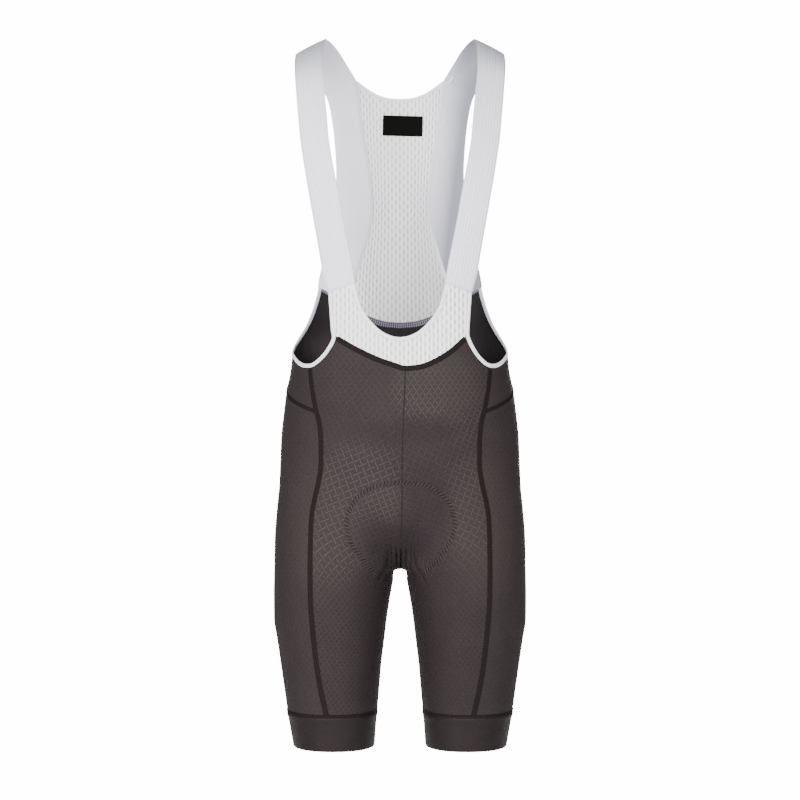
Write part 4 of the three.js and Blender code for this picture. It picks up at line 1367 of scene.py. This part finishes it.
outer, inner, n, uv = strap_faces()
for side in (1, -1):
    w = word(side)
    flip = np.array([side, 1, 1])
    cloths = {"material": STRAP_CLOTH, "slot": "strap_knit", "lining": INNER_WHITE}
    piece = wall("shoulder_strap_" + w, outer * flip, inner * flip, uv, **cloths)
    stands_for(piece, "strap_" + w, outer * flip)
    STRAPS[side] = (outer * flip, n * flip)

    # The strap runs on into the panel, so the panel's first row is the strap's last.
    shares = np.linspace(0, 1, 13)
    panel = upright(side_across, mix(-37.0, -60.9, shares), shares, 81, -300.0) * flip
    z = panel[..., 2].copy()
    panel[0] = spread(outer[-1] * flip, 13)
    lift = 0.5 * np.sin(z / 13 + shares * 3) * (4 * shares * (1 - shares)) * bump((z + 200) / 130)
    panel_uv = pack(side * arc(panel, 1), z)
    cloths = {"cloth": SIDE_WHITE, "slot": "white_jersey", "lining": INNER_WHITE}
    first = spread(inner[-1] * flip, 13)
    white_panel("back_side_panel_" + w, "back_side_" + w, panel, lift, panel_uv, first=first, **cloths)

# Armhole bindings: down the bib, under the arm and up to the waist seam behind.
UNDER_THE_ARM = ("front_panel", "side_yoke", "back_panel")
for side in (1, -1):
    front, yoke, rear = (lay(PANELS[name, side][0], side) for name in UNDER_THE_ARM)
    beside_bib = bib[:-1, -1 if side > 0 else 0]
    path = np.concatenate([beside_bib, front[SPLIT:], yoke[1:-1], rear[: CORNER + 1]])
    path = settle(smooth_path(resample(path, 2.5), 10))
    first = step_to(side, False, (88.4, strap_seam(88.4)), (93.5, strap_seam(93.5)))
    last = on_form(side * 113.0, WAIST_BACK.at("z", 113.0) - GAP, True) - path[-1]
    names = ("armhole_elastic_" + word(side), "armhole_binding_" + word(side))
    binding(*names, path, asides(path, -side, first, last), ARM_WIDE, PALE_ELASTIC, "pale_binding")


# Label, with dark stitching round it.
def under_label(across, up, deep):
    """Points inside the back under a place of the label, which leans a little."""
    p = on_form(LABEL_X + across + LABEL_LEAN * up, LABEL_Z + up - LABEL_LEAN * across, True)
    return p - outward(p) * np.asarray(deep)[..., None]


v, s = np.linspace(0, 1, 10)[:, None], np.linspace(0, 1, 19)[None]
across, up = np.broadcast_arrays(LABEL_WIDE * (s - 0.5), LABEL_TALL * (0.5 - v))
rim = np.minimum(LABEL_WIDE * np.minimum(s, 1 - s), LABEL_TALL * np.minimum(v, 1 - v))
face = under_label(across, up, LABEL_DEEP + 0.25 * bump(rim / 3.2))
foot = under_label(across, up, CLOTH + 0.5 + 0 * across)
piece = wall("bare_label", foot, face, pack(across, up), LABEL_CLOTH, "label_weave")
stands_for(piece, "label", under_label(across, up, 0 * across))
extra(piece, "back_mesh")

corners = np.array([(-1, 1), (1, 1), (1, -1), (-1, -1), (-1, 1)]) * [26.6, 12.6]
across, up = spread(corners, 120)[:-1].T
n = outward(under_label(across, up, 0 * across))
spot = under_label(across, up, LABEL_DEEP + 0 * across)
piece = ribbon("label_stitches", spot, -n, 1.1, 0.4, LABEL_CLOTH, closed=True)
extra(piece, "back_mesh")


# Pad.
def chamois_pad():
    """The pad: a shell with channels between its foam lobes, on the side that faces the body."""
    along = np.linspace(0, PAD_LONG, 81)
    half, thick, clear = (PAD.at(name, along)[:, None] for name in ("half", "thick", "clear"))
    path = march(along, half[:, 0])
    share = np.linspace(0, 1, 31)[None]
    reach, down = share * half, along[:, None]
    lobes = 1 - 0.42 * bump((reach - 19) / 4) * ease((down - 60) / 30) * ease((290 - down) / 25)
    lobes = lobes - 0.3 * bump((down - 150) / 6) * bump(reach / 30)
    edge = 1.2
    deep = edge + (mix(thick, edge, ease((share - 0.55) / 0.45)) - edge) * lobes

    def both_sides(out):
        grid = path - outward(path) * out[..., None]
        return np.concatenate([swayed(grid, -1)[:, ::-1][:, :-1], swayed(grid, 1)], 1)

    across = np.concatenate([-reach[:, ::-1][:, :-1], reach], 1)
    uv = pack(across, -down)
    foot, crown = both_sides(CLOTH + clear + 0 * share), both_sides(CLOTH + clear + deep)
    return wall("chamois_pad", foot, crown, uv, CHAMOIS_CLOTH, "chamois", sharp=60)


pad_piece = chamois_pad()
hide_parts("pad")


# Seams of the dark panels.
def dark_seam(name, path, width, height, *panels, cloth=TAPE_CLOTH, profile=SEAM_PROFILE):
    """A seam on the outer face of dark panels, which it follows over their folds."""
    extra(seam(name, path, width, height, cloth, "dark_jersey", relief=relief, profile=profile), *panels)


def ring_line(index, side, top):
    """Points down the end of a panel, from a height to the cuff."""
    ks = np.nonzero((LEVELS < top) & (LEVELS > CUFF_TOP - 0.5))[0]
    return lay(np.array([(*ring_point(k, ENDS[k, index]), LEVELS[k]) for k in ks]), side)


waist, seat = {}, {}
for side in (1, -1):
    w = word(side)
    front, back, flank, yoke, cuff = (
        name + w for name in ("front_panel_", "back_panel_", "side_panel_", "side_yoke_", "cuff_band_")
    )
    front_p, back_p = PANELS["front_panel", side], PANELS["back_panel", side]
    dark_seam("front_seam_" + w, ring_line(1, side, front_p[0, -1, 2]), 7.0, 0.55, front, flank)
    dark_seam("rear_seam_" + w, ring_line(2, side, back_p[0, 0, 2]), 6.0, 0.55, back, flank)
    # Inside of the leg, from the crotch to the cuff.
    dark_seam("inseam_" + w, ring_line(0, side, -712.0), 5.0, 0.5, front, back)
    # Slanted seam under the small side panel.
    dark_seam("slant_seam_" + w, lay(PANELS["side_panel", side][0], side), 5.0, 0.55, flank, yoke)
    # Seam between the leg and its cuff, all round.
    x, y, _ = sections(np.array([CUFF_TOP + 1.2]), 160)
    ring = lay(pack(x[0], y[0], CUFF_TOP + 1.2), side)
    dark_seam("cuff_seam_" + w, ring, 5.0, 0.95, cuff)
    waist[side] = lay(front_p[0, : SPLIT + 1], side)
    seat[side] = lay(back_p[0, CORNER:], side)[:-1]

FRONTS = ("front_panel_left", "front_panel_right")
BACKS = ("back_panel_left", "back_panel_right")


def down_by(path, way):
    """The path, moved down by so many millimetres."""
    return path - np.array([0, 0, way])


def tape_wide(p):
    """The waist tape narrows towards its ends."""
    return 8.0 - 4.2 * ease((np.abs(p[:, 0]) - 84) / 16)


waist = np.concatenate([waist[-1][::-1], waist[1]])
seat = down_by(np.concatenate([seat[-1], seat[1][::-1]]), -GAP / 2)
dark_seam("waist_seam", down_by(waist, 2.4), 7.2, 0.6, *FRONTS)
dark_seam("seat_seam", seat, 6.0, 0.55, *BACKS)
tape = seam("waist_tape", down_by(seat, 1.2), tape_wide, 0.7, GREY_TAPE, "pale_binding", inside=True)
extra(tape, *BACKS)

# Middle seam: down the front, through the crotch and up the back.
curve = np.linspace(0, 1, 30)[1:]
z = np.concatenate([np.linspace(-432.6, -560, 40), mix(CROTCH, -560, (1 - curve) ** 2)])
z = np.maximum(z, CROTCH + 0.01)
front_line = pack(0, over(0 * z, z, False), z)
z = np.concatenate([mix(CROTCH, -560, curve**2), np.linspace(-560, -374, 50)[1:]])
styles = {"cloth": MIDDLE_CLOTH, "profile": SOFT_PROFILE}
dark_seam("middle_seam_front", lay(front_line, 1), 1.7, 0.2, *FRONTS, **styles)
dark_seam("middle_seam_back", on_form(0.0 * z, z, True), 6.0, 0.55, *BACKS)

# Stitched outline of the pad, seen on the outer face all round it.
styles = {"cloth": ZIGZAG_CLOTH, "profile": SOFT_PROFILE}
for side in (1, -1):
    w = word(side)
    panels = ("front_panel_" + w, "back_panel_" + w)
    dark_seam("pad_stitching_" + w, swayed(PAD_LOOP, side), 7.0, 0.34, *panels, **styles)


# Seams of the white pieces.
def white_seam(name, column, inset, top, width, height, side, inside=False):
    """A seam down a column of the back's side panel."""
    z = np.linspace(top, -372, 110)
    z = z[z > seat_top(BACK_SIDE.at(column, z) - inset[1]) + 1]
    line = on_form(side * (BACK_SIDE.at(column, z) - inset[0]), z, True)
    piece = seam(name + word(side), line, width, height, WHITE_TAPE, "white_jersey", inside)
    extra(piece, "back_side_panel_" + word(side))


def tack(name, path, normal, width, height, side, panel):
    """A short stitched bar along a path."""
    piece = ribbon(name + word(side), path, normal, width, height, WHITE_TAPE)
    extra(piece, panel + word(side))


for side in (1, -1):
    white_seam("back_seam_out_", "seam", (0, 0), -39, 4.0, 0.5, side)
    white_seam("back_seam_in_", "seam", (0, 0), -39, 5.0, 0.6, side, inside=True)
    # A hem along the free edge of the side panel.
    white_seam("back_hem_", "edge", (3.2, 4), -63, 4.4, 0.5, side)
    # Seam between the strap and the front bib, stitched over the strap's end.
    face, n = STRAPS[side]
    row = mix(face[0], face[1], 0.4)[1:-1]
    tack("strap_seam_", row, np.broadcast_to(n[0], row.shape), 3.0, 0.5, side, "shoulder_strap_")
    # The neck band's end: a loose tab on the left, and tacked by a short bar on the right.
    if side > 0:
        bar = resample(face[-4:, 3] - n[-4:] * 1.7, 1.0)
        tack("bar_stitch_", bar, np.broadcast_to(-n[-2], bar.shape), 4.2, 1.5, side, "back_side_panel_")
    else:
        bar = on_form(side * np.linspace(58.6, 65.0, 7), np.linspace(-45.0, -41.6, 7), True)
        n = outward(bar)
        tack("bar_stitch_", bar - n * (CLOTH + 0.2), -n, 3.0, 1.1, side, "back_side_panel_")


# Flat cuts of the pieces, printed.
def declare_cut(piece, outer, folded):
    """The flat cut of a piece is its worn size over its stretch; a folded strip lies double."""
    down, across = outer[1:, :-1] - outer[:-1, :-1], outer[:-1, 1:] - outer[:-1, :-1]
    area = np.linalg.norm(np.cross(down, across), axis=-1).sum() * MM * MM / STRETCH
    long = arc(outer, 0)[-1].max() * MM / math.sqrt(STRETCH)
    wide = arc(outer, 1)[:, -1].max() * MM / math.sqrt(STRETCH)
    area = min(area / 2 if folded else area, 0.995 * long * wide)
    print("cut", piece.name, round(wide * 1000), round(long * 1000), round(area * 1e4), "cm2")


for cut_piece in CUTS:
    declare_cut(*cut_piece)

# Floor.
FLOOR_Z = -1.42
FLOOR_X = (-2.2, 2.2)
FLOOR_Y = (-1.8, 2.15)
TILES = 24
steps = np.linspace(0, 1, TILES + 1)
points = [(mix(*FLOOR_X, i), mix(*FLOOR_Y, j), FLOOR_Z) for i in steps for j in steps]
places = [i * (TILES + 1) + j for i in range(TILES) for j in range(TILES)]
faces = [(k, k + TILES + 1, k + TILES + 2, k + 1) for k in places]
mesh = bpy.data.meshes.new("floor")
mesh.from_pydata(points, [], faces)
floor = bpy.data.objects.new("floor", mesh)
bpy.context.scene.collection.objects.link(floor)
paper = bpy.data.materials.new("paper")
paper.use_nodes = True
shader = paper.node_tree.nodes["Principled BSDF"]
shader.inputs["Base Color"].default_value = (0.93, 0.93, 0.93, 1)
shader.inputs["Roughness"].default_value = 0.9
mesh.materials.append(paper)

# The studio is brightest in front, dimmer above and behind.
world = bpy.data.worlds.new("studio")
world.use_nodes = True
tree = world.node_tree
way = node_of(tree, "TexCoord").outputs["Generated"]
_, away, high = (Value(tree, socket) for socket in node_of(tree, "SeparateXYZ", {0: way}).outputs)
glow = tree.nodes["Background"]
glow.inputs[0].default_value = (1, 1, 1, 1)
feed(tree, glow.inputs[1], high.step(0.0, 0.75, 1.0, 0.15) * away.step(-0.6, 0.5, 1.05, 0.6))
# The paper behind the garment shows pure white, brighter than the light that it gives.
PAPER_LIGHT = 19
bright = node_of(tree, "Background", {1: PAPER_LIGHT})
seen = node_of(tree, "LightPath").outputs["Is Camera Ray"]
either = node_of(tree, "MixShader", {0: seen, 1: glow.outputs[0], 2: bright.outputs[0]})
feed(tree, tree.nodes["World Output"].inputs[0], either.outputs[0])
bpy.context.scene.world = world


def softbox(name, place, towards, size, power):
    """A rectangular lamp that faces a point."""
    light = bpy.data.lights.new(name, "AREA")
    light.shape = "RECTANGLE"
    light.size, light.size_y = size
    light.energy = power
    lamp = bpy.data.objects.new(name, light)
    lamp.location = place
    away = np.array(place) - np.array(towards)
    lean = math.pi / 2 - math.atan2(away[2], math.hypot(away[0], away[1]))
    lamp.rotation_euler = (lean, 0, math.atan2(away[1], away[0]) + math.pi / 2)
    bpy.context.scene.collection.objects.link(lamp)


MIDDLE_OF_ALL = (0, 0, -0.5)
softbox("key", (-1.1, -2.7, 0.1), MIDDLE_OF_ALL, (1.5, 1.5), 163)
softbox("fill", (1.3, -2.8, -0.1), MIDDLE_OF_ALL, (1.5, 1.8), 68)
softbox("behind_left", (-0.4, 3.0, 0.3), MIDDLE_OF_ALL, (1.4, 1.8), 84)
softbox("behind_right", (0.5, 2.9, 0.1), MIDDLE_OF_ALL, (1.4, 1.8), 60)
